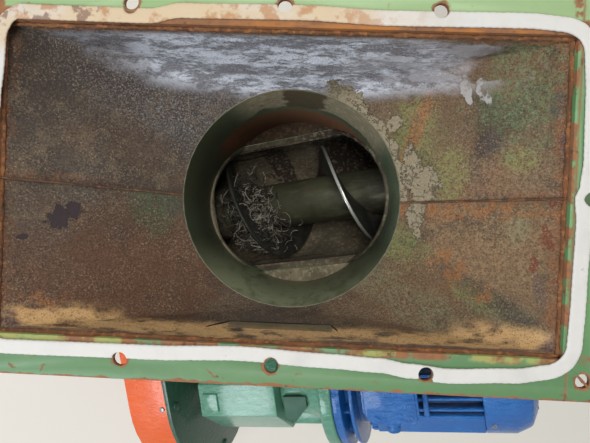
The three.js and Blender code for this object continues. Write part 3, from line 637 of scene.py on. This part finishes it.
def tube_finish():
    """Green outside; bare, dusty steel in the bore and on the cut edges."""
    f = Finish("inlet_tube_paint", (92, 138, 92), 0.42, seat_at=conveyor)
    f.lay(f.grain(30, 0.45, 0.75), (112, 156, 108), 0.45, 0.35)
    level = f.add("ShaderNodeSeparateXYZ")
    f.feed(level.inputs[0], f.add("ShaderNodeTexCoord").outputs["Object"])
    squares = [f.math("MULTIPLY", level.outputs[n], level.outputs[n]) for n in (0, 1)]
    in_spout = f.ramp(f.math("ADD", *squares), 0.1302 ** 2, 0.1296 ** 2)
    in_spout = f.both(in_spout, f.ramp(level.outputs[2], 0.4, 0.42))
    bore = f.either(f.ramp(f.off_axis("Y", "Z"), 0.1092, 0.1086), in_spout)
    f.lay(bore, (92, 84, 68), 0.9)
    # The far side of the tube seen within the spout is laid dark brown: rust, darkened as painted shade
    f.lay(f.both(in_spout, f.ramp(level.outputs[1], 0.02, 0.05)), (52, 41, 30), 0.9)
    # The bore's left end is pale dust, laid lighter as painted light where it lies in shade
    f.lay(f.both(bore, f.ramp(f.axis("X"), -0.07, -0.095)), (150, 140, 116), 0.9, 0.75)
    f.lay(f.both(bore, f.grain(120, 0.5, 0.62)), (136, 126, 102), 0.92, 0.7)
    f.lay(f.both(bore, f.grain(30, 0.5, 0.64, shift=3)), (60, 48, 36), 0.85, 0.8)
    f.raise_by(f.raw(140, detail=5.0), 0.5)
    return f.made(0.7, 0.0012)


def motor_finish():
    f = Finish("motor_fins", (14, 92, 164), 0.22, seat_at=drive)
    f.lay(f.grain(30, 0.45, 0.75), (40, 124, 192), 0.25, 0.35)
    # Painted shade: the gaps between the fins are laid dark navy
    f.lay(f.ramp(f.off_axis("Y", "Z"), 0.0705, 0.064), (8, 24, 56), 0.45, 0.92)
    brush_marks(f, 3.0)
    return f.made(0.9, 0.0012)


GREEN = painted("casing_green", (88, 134, 86), (70, 112, 70), (108, 152, 102), 0.42, 0.62, 0.4)
RIM_GREEN = flange_paint()
WALLS = {"front": front_wall(), "back": back_wall()}
SPOUT = spout_paint()
SEAL = seal_finish()
PLATE = painted("plate_green", (34, 78, 60), (26, 62, 48), (48, 94, 74), 0.3, 0.7, 0.1, brushed=0.4)
GUARD = painted("guard_orange", (216, 84, 2), (198, 68, 2), (230, 102, 12), 0.34, 0.7, 0.04, brushed=0.4)
GEAR = painted("gearbox_green", (88, 146, 122), (66, 118, 94), (104, 160, 134), 0.2, 0.72, 0.06, 1.1, 0.5)
MOTOR = painted("motor_blue", (14, 92, 164), (10, 70, 136), (40, 124, 192), 0.2, 0.74, 0.05, brushed=1.1)
# Painted shade: dark navy for the fan grille's recess
MOTOR_SHADE = painted("motor_shadow", (10, 28, 58), (8, 20, 44), (16, 40, 76), 0.4, 0.74, 0.1)
SHAFT = worn_steel("shaft_worn", (84, 84, 64), (116, 116, 96), (50, 48, 36), 0.5, 0.3)
BLADE = worn_steel("flight_worn", (58, 58, 54), (88, 86, 78), (34, 34, 34), 0.5, 0.5, True)
LUG = painted("lug_green", (44, 84, 66), (26, 54, 42), (66, 108, 88), 0.6, 0.66, 0.0)
LEDGE = dusty("ledge_dust", (138, 128, 104), (168, 158, 132), (96, 86, 68))
DUST = trough_finish()
INLET = tube_finish()
FINS = motor_finish()
CAKE = dusty("shaft_cake", (74, 68, 54), (112, 104, 86), (44, 38, 30))
LEDGE_RUST = dusty("ledge_rust", (76, 58, 40), (108, 92, 70), (46, 35, 27))
BEARING = painted("bearing_grey", (70, 82, 78), (54, 64, 60), (92, 104, 98), 0.45, 0.62, 0.4)
ZINC = worn_steel("zinc_bolt", (150, 152, 150), (190, 190, 186), (110, 108, 100), 0.35, 0.8)
WELD = painted("weld_painted", (84, 126, 84), (70, 106, 72), (104, 144, 100), 0.45, 0.58, 0.3)
WELD_RUST = dusty("weld_rusty", (120, 78, 46), (160, 104, 60), (84, 56, 40))
SEAM_RUST = dusty("seam_rusty", (92, 66, 46), (126, 88, 56), (54, 38, 30))
FIBRE = dusty("fibre_grey", (150, 144, 130), (196, 190, 176), (100, 94, 82))
WAD = dusty("fibre_dark", (52, 48, 42), (84, 78, 68), (28, 26, 22))


# The solids with their edges broken, one piece each
def dressed(node, finish, bevel=0.0008, segments=2, angle=35, shape=None):
    mesh = nodes[node].data.copy()
    obj = bpy.data.objects.new(node + "_piece", mesh)
    bpy.context.scene.collection.objects.link(obj)
    edit(obj)
    bpy.ops.mesh.remove_doubles(threshold=0.00002)
    bpy.ops.mesh.dissolve_limited(angle_limit=math.radians(0.8))
    done()
    if bevel:
        rounded(obj, bevel, segments)
    if shape:
        shape(obj)
    smooth(obj, angle)
    place_piece(obj, node + "_dressed", finish, body_of[node], [node])


for bar in ("back", "left", "front", "right"):
    dressed("inlet_flange_" + bar, RIM_GREEN, 0.0009)


def hand_formed(obj):
    apply(obj, "TRIANGULATE")
    apply(obj, "SUBSURF", subdivision_type="SIMPLE", levels=4, render_levels=4)
    # The sheet keeps its place along the seam, the rim and the spout
    back = hopper.inverted()
    group = obj.vertex_groups.new(name="free")
    for v in obj.data.vertices:
        p = back @ v.co
        free = min(abs(p.y - 0.0035) - 0.004, -0.004 - p.z, p.z + 0.099) / 0.012
        group.add([v.index], min(max(free, 0), 1), "REPLACE")
    ripple(obj, 0.0026, 0.06, group="free")
    ripple(obj, 0.001, 0.014, group="free")


for half in ("front", "back"):
    dressed("hopper_half_" + half, WALLS[half], 0, angle=24, shape=hand_formed)


# How far the soft strip strays inwards or outwards, in mm, at places along its sides
FAR_WAVE = [(-280, -4), (-142, -5), (-108, 1), (6, 2), (92, -1), (223, 0), (269, -3)]
NEAR_WAVE = [(-280, -1), (-128, 0), (-38, 3), (40, 0), (96, -2), (126, -6), (162, -9), (222, -6), (267, 0)]
RIGHT_WAVE = [(-152, -2), (-79, 0), (-14, 1), (7, -1), (20, 3), (43, 5), (102, 4), (154, 1)]
LEFT_WAVE = [(-152, 0), (40, 0), (82, 8), (121, 11), (152, 12)]


def along(wave, at):
    at *= 1000
    if at <= wave[0][0]:
        return wave[0][1] / 1000
    for (a, first), (b, second) in zip(wave, wave[1:]):
        if at <= b:
            share = (at - a) / (b - a)
            share = share * share * (3 - 2 * share)
            return (first + (second - first) * share) / 1000
    return wave[-1][1] / 1000


def wander(obj, direction, ways):
    """Moves each point its own way along X or Y, up to the reach either way."""
    reach = 0.015
    group = obj.vertex_groups.new(name="wander_" + direction)
    for index, way in enumerate(ways):
        group.add([index], min(max(0.5 + way / (2 * reach), 0), 1), "REPLACE")
    apply(obj, "DISPLACE", strength=2 * reach, mid_level=0.0, direction=direction, vertex_group=group.name)
    obj.data.transform(move(*(-reach if d == direction else 0 for d in "XYZ")))


def flowing_strip(obj):
    apply(obj, "REMESH", mode="VOXEL", voxel_size=0.0012)
    obj.data.transform(hopper.inverted())
    flat = [v.co.copy() for v in obj.data.vertices]

    def stray(out, low, high, wave, at):
        """Grows from nothing inside the low value to the wave's own beyond the high one."""
        return min(max((out - low) / (high - low), 0), 1) * along(wave, at)

    ys = [stray(p.y, 0.12, 0.15, FAR_WAVE, p.x) + stray(-p.y, 0.11, 0.14, NEAR_WAVE, p.x) for p in flat]
    xs = [stray(p.x, 0.24, 0.27, RIGHT_WAVE, p.y) + stray(-p.x, 0.26, 0.29, LEFT_WAVE, p.y) for p in flat]
    wander(obj, "Y", ys)
    wander(obj, "X", xs)
    obj.data.transform(hopper)
    apply(obj, "SMOOTH", factor=0.5, iterations=4)
    ripple(obj, 0.0008, 0.012)
    holes = grid([MOUTH_X + k * BOLT_PITCH for k in (-1, 0, 1)], (MOUTH_Y - BOLT_ROW, MOUTH_Y + BOLT_ROW))
    holes += [(MOUTH_X + BOLT_END, MOUTH_Y), (MOUTH_X - BOLT_END, MOUTH_Y)]
    cutter = join([seat(disc(32, 0.0074, 0.03, (x, y, 0)), hopper) for x, y in holes], "hole_cutter")
    apply(obj, "BOOLEAN", operation="DIFFERENCE", object=cutter, solver="FAST")
    bpy.data.objects.remove(cutter)


dressed("sealing_strip", SEAL, 0, angle=60, shape=flowing_strip)
dressed("inlet_spout", SPOUT, 0.001, 3)
dressed("inlet_ledge_front", LEDGE, 0.001)
dressed("inlet_ledge_back", LEDGE_RUST, 0.001)
dressed("inlet_tube", INLET, 0.001)
for node in ("conveyor_tube_lower", "conveyor_tube_upper", "joint_ring_lower", "joint_ring_upper",
             "end_plate_upper", "outlet_spout", "outlet_flange", "inlet_sole", "inlet_post_front",
             "inlet_post_back", "inlet_tie", "upper_crossbar", "upper_sole_front", "upper_sole_back",
             "upper_post_front", "upper_post_back", "upper_tie", "drive_bracket"):
    dressed(node, GREEN, 0.004 if "post" in node or "crossbar" in node else 0.001, 3)
dressed("drive_plate", PLATE, 0.0012)
dressed("chain_guard", GUARD, 0.005, 4)
dressed("bearing_upper", BEARING, 0.004, 3)
dressed("screw_shaft", SHAFT, 0.0015)
for end in ("lower", "upper"):
    dressed("screw_flight_" + end, BLADE, 0.0012, 2)
dressed("gearbox_neck", PLATE, 0.002, 3)
dressed("gearbox_housing", GEAR, 0.004, 4, 40)
dressed("gearbox_cover", GEAR, 0.0012, 3)
dressed("gearbox_foot", GEAR, 0.004, 3)
dressed("gearbox_bell", GEAR, 0.004, 4)
dressed("gearbox_lug", LUG, 0.004, 3)
dressed("motor_flange", MOTOR, 0.002, 3)
dressed("motor_body", FINS, 0.0007, 2)


def cut_corners(obj):
    """The near corners of the terminal box are cut off aslant."""
    for (x, y), (across, down) in (((0.091, -0.005), (-0.8, -0.6)), ((0.166, -0.009), (0.88, -0.48))):
        edit(obj)
        edge, normal = drive @ Vector((x, y, 0.09)), drive.to_3x3() @ Vector((across, down, 0))
        bpy.ops.mesh.bisect(plane_co=edge, plane_no=normal, use_fill=True, clear_outer=True)
        done()


def box_shape(obj):
    cut_corners(obj)
    rounded(obj, 0.003, 3)


dressed("terminal_box", MOTOR, 0, shape=box_shape)
dressed("cable_gland", MOTOR, 0.001)
dressed("fan_cover", MOTOR, 0.003, 4)


# Fasteners: one is modelled, and each copy gets its own mesh
def hex_bolt(size, dome=False):
    """A head on its washer, drawn out into an anchor's stud where domed."""
    across = size * 1.6
    head = disc(6, across / 1.732, size * 0.65, (0, 0, size * 0.5))
    pick_top(head)
    bpy.ops.mesh.inset(thickness=across * 0.08)
    bpy.ops.transform.translate(value=(0, 0, size * 0.05))
    if dome:
        bpy.ops.mesh.inset(thickness=across * 0.12)
        raise_top(size * 0.9)
    done()
    rounded(head, size * 0.05, 2)
    washer = disc(24, size * 1.15, size * 0.18, (0, 0, size * 0.09))
    rounded(washer, size * 0.04, 1)
    bolt = join([head, washer], "bolt")
    smooth(bolt, 40)
    return bolt


def cap_screw(size):
    head = disc(20, size * 0.85, size, (0, 0, size * 0.5))
    stepped(head, size * 0.38, -size * 0.5)
    rounded(head, size * 0.06, 2)
    smooth(head, 40)
    return head


def copies(model, places, name, finish=ZINC):
    made = []
    for place in places:
        one = model.copy()
        one.data = model.data.copy()
        one.data.transform(place)
        one.matrix_world = Matrix.Identity(4)
        bpy.context.scene.collection.objects.link(one)
        made.append(one)
    bpy.data.objects.remove(model)
    place_piece(join(made, name), name, finish)


def ring_places(base, radius, count, at, first, flip=False):
    """Places round the X axis of a seat, pointing along +X, or -X where flipped."""
    turn = spin(-math.pi / 2, "Y") if flip else along_x
    out = []
    for i in range(count):
        a = first + 2 * math.pi * i / count
        place = base @ move(at, radius * math.cos(a), radius * math.sin(a)) @ turn
        out.append(place @ spin(rng.uniform(0, 1), "Z"))
    return out


def end_places(at, points):
    """Places on a face square to the conveyor's axis."""
    return [conveyor @ move(at, y, z) @ along_x for y, z in points]


def upright(points, z, base=Matrix.Identity(4)):
    return [base @ move(x, y, z) @ spin(rng.uniform(0, 1), "Z") for x, y in points]


def guard_places(inset, x, outward=True):
    """Places round the guard's outline: on its wall pointing outwards, or on the plate facing the motor."""
    turn = spin(-math.pi / 2, "X") if outward else along_x
    lean = math.atan2(DRIVE_DOWN, DRIVE_ACROSS)
    spread = math.acos((BIG_END - SMALL_END) / math.hypot(DRIVE_ACROSS, DRIVE_DOWN))
    # The share of the way from the big end to the small one, with the angle there
    stops = [(0, math.radians(degrees)) for degrees in (92, 135, 180, 225, 262)]
    stops += [(1, math.radians(degrees)) for degrees in (-60, 0, 60)]
    stops += [(share, lean + side * spread) for side, share in grid((1, -1), (0.3, 0.7))]
    out = []
    for share, angle in stops:
        centre = conveyor @ move(x, -DRIVE_ACROSS * (1 - share), -DRIVE_DOWN * (1 - share))
        radius = BIG_END * (1 - share) + SMALL_END * share - inset
        out.append(centre @ spin(angle, "X") @ move(0, radius, 0) @ turn)
    return out


copies(hex_bolt(0.01), ring_places(conveyor, 0.124, 8, JOINT_AT + PLATE_FACE, 0.2), "joint_ring_bolts")
copies(hex_bolt(0.01), ring_places(conveyor, 0.124, 8, JOINT_AT - PLATE_FACE, 0.2, True), "joint_ring_nuts")
plate_bolts = [p for p in grid((-0.105, 0.0, 0.105), (-0.105, 0.0, 0.105)) if p != (0.0, 0.0)]
bearing_bolts = grid((-0.05, 0.05), (-0.05, 0.05))
copies(hex_bolt(0.01), end_places(TUBE_END + PLATE_FACE, plate_bolts), "end_plate_bolts")
copies(hex_bolt(0.01), end_places(TUBE_END + PLATE_FACE + 0.008, bearing_bolts), "bearing_bolts")
copies(hex_bolt(0.009), ring_places(drive, 0.08, 4, 0.068, math.radians(42), True), "end_shield_bolts")
copies(hex_bolt(0.009), ring_places(drive, 0.08, 4, 0.024, math.pi / 4, True), "bell_nuts", GEAR)
copies(hex_bolt(0.009), upright(grid((-0.16, -0.085), (-0.068, 0.068)), -0.0803, drive), "foot_bolts")
anchors = grid((-0.042, 0.042), (-0.16, 0.16))
copies(hex_bolt(0.012, dome=True), upright(anchors, SOLE_TOP), "inlet_sole_anchors")
around = grid((-0.058, 0.058), (-0.058, 0.058))
anchors = [(STAND_X + x, side * UPPER_POST + y) for side in (-1, 1) for x, y in around]
copies(hex_bolt(0.012, dome=True), upright(anchors, SOLE_TOP), "upper_sole_anchors")
lid_corners = ((0.0965, 0.0385), (0.1605, 0.0385), (0.108, -0.012), (0.156, -0.012))
copies(cap_screw(0.005), [drive @ move(x, y, 0.104) for x, y in lid_corners], "terminal_lid_screws", MOTOR)
copies(cap_screw(0.004), [drive @ spin(a, "X") @ move(0.262, 0, 0.0735) for a in (0.6, 2.2, 3.8, 5.3)],
       "fan_cover_screws")
copies(hex_bolt(0.005), guard_places(0.004, GUARD_WALL_AT), "guard_screws")
copies(hex_bolt(0.008), guard_places(0.016, DRIVE_PLATE_AT, False), "drive_plate_bolts", PLATE)


# Weld beads: a lumpy round run along a line of points
def wire(name, points, thick, rounds, widths=None, closed=False):
    """A round run along a line of points, still as a curve."""
    curve = bpy.data.curves.new(name, "CURVE")
    curve.dimensions = "3D"
    curve.bevel_depth = thick
    curve.bevel_resolution = rounds
    curve.use_fill_caps = not closed
    spline = curve.splines.new("POLY")
    spline.points.add(len(points) - 1)
    for k, point in enumerate(spline.points):
        point.co = (*points[k], 1)
        if widths:
            point.radius = widths[k]
    spline.use_cyclic_u = closed
    obj = bpy.data.objects.new(name, curve)
    bpy.context.scene.collection.objects.link(obj)
    return obj


def weld(name, points, radius, finish=WELD, closed=False, base=Matrix.Identity(4)):
    line = []
    for i in range(len(points) if closed else len(points) - 1):
        a, b = Vector(points[i]), Vector(points[(i + 1) % len(points)])
        steps = max(1, round((b - a).length / 0.004))
        line += [a.lerp(b, k / steps) for k in range(steps)]
    if not closed:
        line.append(Vector(points[-1]))
    shaken, widths = [], []
    for p in line:
        jig = Vector(rng.uniform(-0.1, 0.1) * radius for _ in range(3))
        shaken.append(base @ (p + jig))
        widths.append(rng.uniform(0.85, 1.15))
    only(wire(name, shaken, radius, 1, widths, closed))
    bpy.ops.object.convert(target="MESH")
    obj = bpy.context.object
    ripple(obj, radius * 0.7, 0.0035, depth=1)
    smooth(obj, 60)
    place_piece(obj, name, finish)


def circle(radius, z=0.0, centre=(0, 0), count=72):
    angles = [2 * math.pi * i / count for i in range(count)]
    return [(centre[0] + radius * math.cos(a), centre[1] + radius * math.sin(a), z) for a in angles]


CORNERS = ((-1, -1), (1, -1), (1, 1), (-1, 1))


def square(x, y, half, z):
    return [(x + half * a, y + half * b, z) for a, b in CORNERS]


def saddle(radius, side=1):
    """Where a level round pipe about X = 0 meets the sloping tube, on its upper or lower side."""
    out = []
    for x, y, _ in circle(radius, count=60):
        if abs(y) <= TUBE_RADIUS * 0.985:
            rise = side * math.sqrt(TUBE_RADIUS * TUBE_RADIUS - y * y)
            out.append((x, y, (x * math.sin(PITCH) + rise) / math.cos(PITCH)))
    return out


weld("spout_rim_weld", circle(SPOUT_RADIUS, FLANGE_HEIGHT - 0.1035), 0.0026, GREEN, closed=True)
for word, sign in (("left", -1), ("right", 1)):
    top = (sign * 0.2785 + MOUTH_X, MOUTH_Y, -0.004)
    bottom = (sign * 0.13, 0.0, -0.1005)
    weld("hopper_seam_" + word, [top, bottom], 0.0012, SEAM_RUST, base=hopper)
    for depth, side in (("front", -1), ("back", 1)):
        inner = (MOUTH_X + sign * 0.2805, MOUTH_Y + side * 0.1555, -0.0006)
        outer = (MOUTH_X + sign * 0.3195, MOUTH_Y + side * 0.1945, -0.0006)
        weld(f"flange_corner_{word}_{depth}", [inner, outer], 0.0012, RIM_GREEN, base=hopper)
mouth = [(MOUTH_X + a * 0.2785, MOUTH_Y + b * 0.1535, -0.007) for a, b in CORNERS]
weld("hopper_top_weld", mouth, 0.0022, WELD_RUST, closed=True, base=hopper)
arc = saddle(SPOUT_RADIUS)
level = move(0, 0, AXIS_HEIGHT)
weld("spout_weld_left", [p for p in arc if p[0] < 0], 0.0028, base=level)
weld("spout_weld_right", sorted((p for p in arc if p[0] > 0), key=lambda p: p[1]), 0.0028, base=level)
for name, at in (("joint_weld_lower", JOINT_AT - 0.009), ("joint_weld_upper", JOINT_AT + 0.009),
                 ("end_weld_upper", TUBE_END - 0.001), ("end_weld_lower", -0.2305)):
    hoop = [(at, y, z) for y, z, _ in circle(0.1105)]
    weld(name, hoop, 0.0028, closed=True, base=conveyor)
weld("outlet_flange_weld", circle(0.102, OUTLET_LOW + 0.009, (OUTLET_X, 0)), 0.0025, closed=True)
weld("outlet_weld", saddle(0.1015, -1), 0.0028, closed=True, base=move(OUTLET_X, 0, OUTLET_HEIGHT))
for word, sign in (("front", -1), ("back", 1)):
    weld("inlet_post_weld_" + word, square(0, sign * INLET_POST, 0.0255, 0.011), 0.0026, closed=True)
    weld("upper_post_weld_" + word, square(STAND_X, sign * UPPER_POST, 0.0305, 0.011), 0.0026, closed=True)


# Gusset plates at the foot of each post
def gusset(name, x, y, length, turn):
    height = 0.09
    plate = block(length, 0.006, height)
    edit(plate, "DESELECT")
    bpy.ops.mesh.select_mode(type="VERT")
    done()
    for v in plate.data.vertices:
        v.select = v.co.x > 0 and v.co.z > 0
    bpy.ops.object.mode_set(mode="EDIT")
    bpy.ops.transform.translate(value=(-length * 0.72, 0, 0))
    done()
    rounded(plate, 0.0008, 2)
    smooth(plate)
    place = move(x, y, SOLE_TOP + 0.0002) @ spin(turn, "Z") @ move(length / 2, 0, height / 2)
    place_piece(seat(plate, place), name, GREEN)


for word, sign in (("front", -1), ("back", 1)):
    gusset("upper_gusset_" + word, STAND_X, sign * 0.1703, 0.048, sign * math.pi / 2)
    gusset("inlet_gusset_" + word, 0, sign * 0.1053, 0.06, sign * math.pi / 2)


# Ribs of the motor's end shield, one modelled and copied round the axis
rib = block(0.0118, 0.0034, 0.034)
rounded(rib, 0.0008, 2)
smooth(rib)
turns = [spin(math.radians(degrees), "X") for degrees in range(11, 371, 30)]
rib_places = [drive @ turn @ move(0.062, 0, 0.0632) for turn in turns]
copies(rib, rib_places, "end_shield_ribs", MOTOR)

# Terminal box lid with a lowered rim
lid = block(0.077, 0.064, 0.004)
stepped(lid, 0.0035, 0.0018)
seat(lid, drive @ move(0.1285, 0.013, 0.1022))
cut_corners(lid)
rounded(lid, 0.0012, 3)
smooth(lid)
place_piece(lid, "terminal_lid", MOTOR)

# Rounded rib on the motor beside its terminal box
rib = block(0.0075, 0.052, 0.02)
pick_top(rib)
raise_top(0.004, 0.003)
done()
rounded(rib, 0.0026, 4)
smooth(rib)
place_piece(seat(rib, drive @ move(0.1745, 0.000, 0.064)), "terminal_rib", MOTOR)

# Gland nut and its clamping ring on the box's near side
nut = disc(6, 0.0125, 0.007)
rounded(nut, 0.001, 2)
cap = disc(24, 0.0095, 0.01, (0, 0, 0.0085))
stepped(cap, 0.0035, -0.004)
rounded(cap, 0.001, 2)
nut = join([nut, cap], "gland_nut")
smooth(nut)
gland_place = drive @ move(0.1285, -0.0225, 0.089) @ spin(math.pi / 2, "X")
place_piece(seat(nut, gland_place), "gland_nut", MOTOR)

# Screwed cover over the chain's tensioner, on the guard's outer face
hatch = block(0.17, 0.092, 0.003)
stepped(hatch, 0.014, 0.002)
rounded(hatch, 0.001, 2)
smooth(hatch)
hatch_place = conveyor @ move(-0.3175, -0.155, -0.03) @ spin(-math.pi / 2, "Y")
hatch_place = hatch_place @ spin(math.radians(79.8), "Z")
place_piece(seat(hatch, hatch_place), "guard_hatch", GUARD)
hatch_corners = grid((-0.078, 0.078), (-0.039, 0.039))
copies(hex_bolt(0.006), [hatch_place @ move(x, y, 0.0014) for x, y in hatch_corners], "guard_hatch_screws")


# Air inlet grille on the end of the fan cover: rings and spokes over a recess painted dark navy as its shade
def grille_ring(radius):
    clear()
    bpy.ops.mesh.primitive_torus_add(major_radius=radius, minor_radius=0.0014, major_segments=48,
                                     minor_segments=8)
    bpy.ops.object.shade_smooth()
    return seat(bpy.context.object, drive @ move(0.3228, 0, 0) @ along_x)


def grille_spoke(angle):
    one = block(0.003, 0.003, 0.04)
    rounded(one, 0.0008, 2)
    return seat(one, drive @ move(0.3228, 0, 0) @ spin(angle, "X") @ move(0, 0, 0.025))


grille = [grille_ring(radius) for radius in (0.008, 0.016, 0.024, 0.032, 0.04)]
grille += [grille_spoke(math.pi * k / 4) for k in range(8)]
place_piece(join(grille, "fan_grille"), "fan_grille", MOTOR)
recess = disc(48, 0.0435, 0.0016)
pick_top(recess)
bpy.ops.mesh.inset(thickness=0.002)
bpy.ops.transform.translate(value=(0, 0, -0.0008))
done()
smooth(recess)
recess_place = drive @ move(0.3222, 0, 0) @ along_x
place_piece(seat(recess, recess_place), "grille_recess", MOTOR_SHADE)


# Dust lying in the bottom of the inlet tube, and caked round the shaft's lower end
def crusted(obj, cuts, thick, strength, size):
    """Gives an open sheet its thickness and a lumpy face."""
    edit(obj)
    bpy.ops.mesh.subdivide(number_cuts=cuts)
    done()
    apply(obj, "SOLIDIFY", thickness=thick, offset=-1)
    edit(obj)
    bpy.ops.mesh.normals_make_consistent(inside=False)
    done()
    ripple(obj, strength, size)
    smooth(obj, 60)


length, rows = 0.37, 90
step = length / rows
bed = disc(128, 0.1012, step, end_fill_type="NOTHING")
apply(bed, "ARRAY", count=rows, relative_offset_displace=(0, 0, 1), use_merge_vertices=True,
      merge_threshold=0.0002)
bed.data.transform(move(-0.04, 0, 0) @ along_x @ move(0, 0, (step - length) / 2))
pick_faces(bed, lambda p: p.center.z > 0.02)
bpy.ops.mesh.delete(type="FACE")
crusted(bed, 1, 0.003, 0.003, 0.018)
place_piece(seat(bed, conveyor), "trough_dust", DUST)

cake = disc(72, 0.0445, 0.084)
pick_faces(cake, lambda p: abs(p.normal.z) > 0.9)
bpy.ops.mesh.inset(thickness=0.005)
bpy.ops.mesh.delete(type="ONLY_FACE")
crusted(cake, 12, 0.004, 0.004, 0.014)
place_piece(seat(cake, conveyor @ move(-0.158, 0, 0) @ along_x), "shaft_cake", CAKE, "screw")


# Tangle of fibre and swarf caught on the screw, kept between the shaft and the flight's rim
def scatter(centre, spread):
    return Vector([rng.gauss(c, s) for c, s in zip(centre, spread)])


def tangle(name, finish, count, spread, thick):
    strands = []
    for i in range(count):
        p = scatter((-0.06, -0.01, 0.05), (0.015, 0.022 * spread, 0.009))
        if i % 4 == 0:
            p = scatter((-0.048, -0.05, 0.032), (0.02, 0.012 * spread, 0.008))
        heading = scatter((0, 0, 0), (1, 1, 0.4)).normalized()
        curl = scatter((0, 0, 0), (1, 1, 2)).normalized() * rng.uniform(0.2, 0.9)
        points = []
        for _ in range(rng.randint(6, 15)):
            off = math.hypot(p.y, p.z)
            kept = min(max(off, 0.041), 0.08)
            p.y, p.z = p.y * kept / off, p.z * kept / off
            points.append(conveyor @ p)
            heading = heading + heading.cross(curl) * 0.5 + scatter((0, 0, 0), (0.2, 0.2, 0.12))
            heading.normalize()
            p = p + heading * rng.uniform(0.0025, 0.0045)
        strands.append(wire("strand", points, rng.uniform(0.5, 1.1) * thick, 0))
    only(*strands)
    bpy.ops.object.convert(target="MESH")
    obj = join(list(bpy.context.selected_objects), name)
    smooth(obj, 70)
    place_piece(obj, name, finish, "screw")


tangle("fibre_tangle", FIBRE, 260, 1.0, 0.0006)
tangle("fibre_wads", WAD, 220, 1.25, 0.0012)


# Floor, light and camera
clear()
bpy.ops.mesh.primitive_plane_add(size=30, location=(1, 0, 0))
floor = bpy.context.object
floor.name = "floor"
ground = Finish("floor_pale", (214, 208, 198), 0.8)
floor.data.materials.append(ground.made())


def lamp(name, place, target, size, power, colour):
    data = bpy.data.lights.new(name, "AREA")
    data.shape = "DISK"
    data.size = size
    data.energy = power
    data.color = colour
    obj = bpy.data.objects.new(name, data)
    obj.location = place
    obj.rotation_euler = (Vector(target) - Vector(place)).to_track_quat("-Z", "Y").to_euler()
    bpy.context.scene.collection.objects.link(obj)


lamp("window", (-1.76, -1.26, 2.4), (0, -0.15, 0.5), 1.3, 50, (0.88, 0.94, 1.0))
lamp("ceiling", (0.1, 0.4, 3.4), (0, 0, 0.4), 1.2, 45, (1.0, 0.98, 0.94))
lamp("room", (2.8, 2.4, 3.0), (1.1, 0, 0.5), 2.4, 40, (1.0, 0.95, 0.88))
world = bpy.data.worlds.new("studio")
world.use_nodes = True
world.node_tree.nodes["Background"].inputs["Color"].default_value = (0.93, 0.96, 1.0, 1)
world.node_tree.nodes["Background"].inputs["Strength"].default_value = 0.42
bpy.context.scene.world = world
bpy.context.scene.view_settings.view_transform = "Standard"

camera_data = bpy.data.cameras.new("camera")
camera_data.sensor_width = 36
camera_data.lens = 36 * 443 / 590
camera_data.clip_start = 0.01
camera = bpy.data.objects.new("camera", camera_data)
bpy.context.scene.collection.objects.link(camera)
lean = Vector((0.0177077, -0.0284044, -0.0398034))
eye = move(0.020857, -0.017471, 0.430593) @ spin(lean.length, lean).transposed()
camera.matrix_world = hopper @ eye
bpy.context.scene.camera = camera
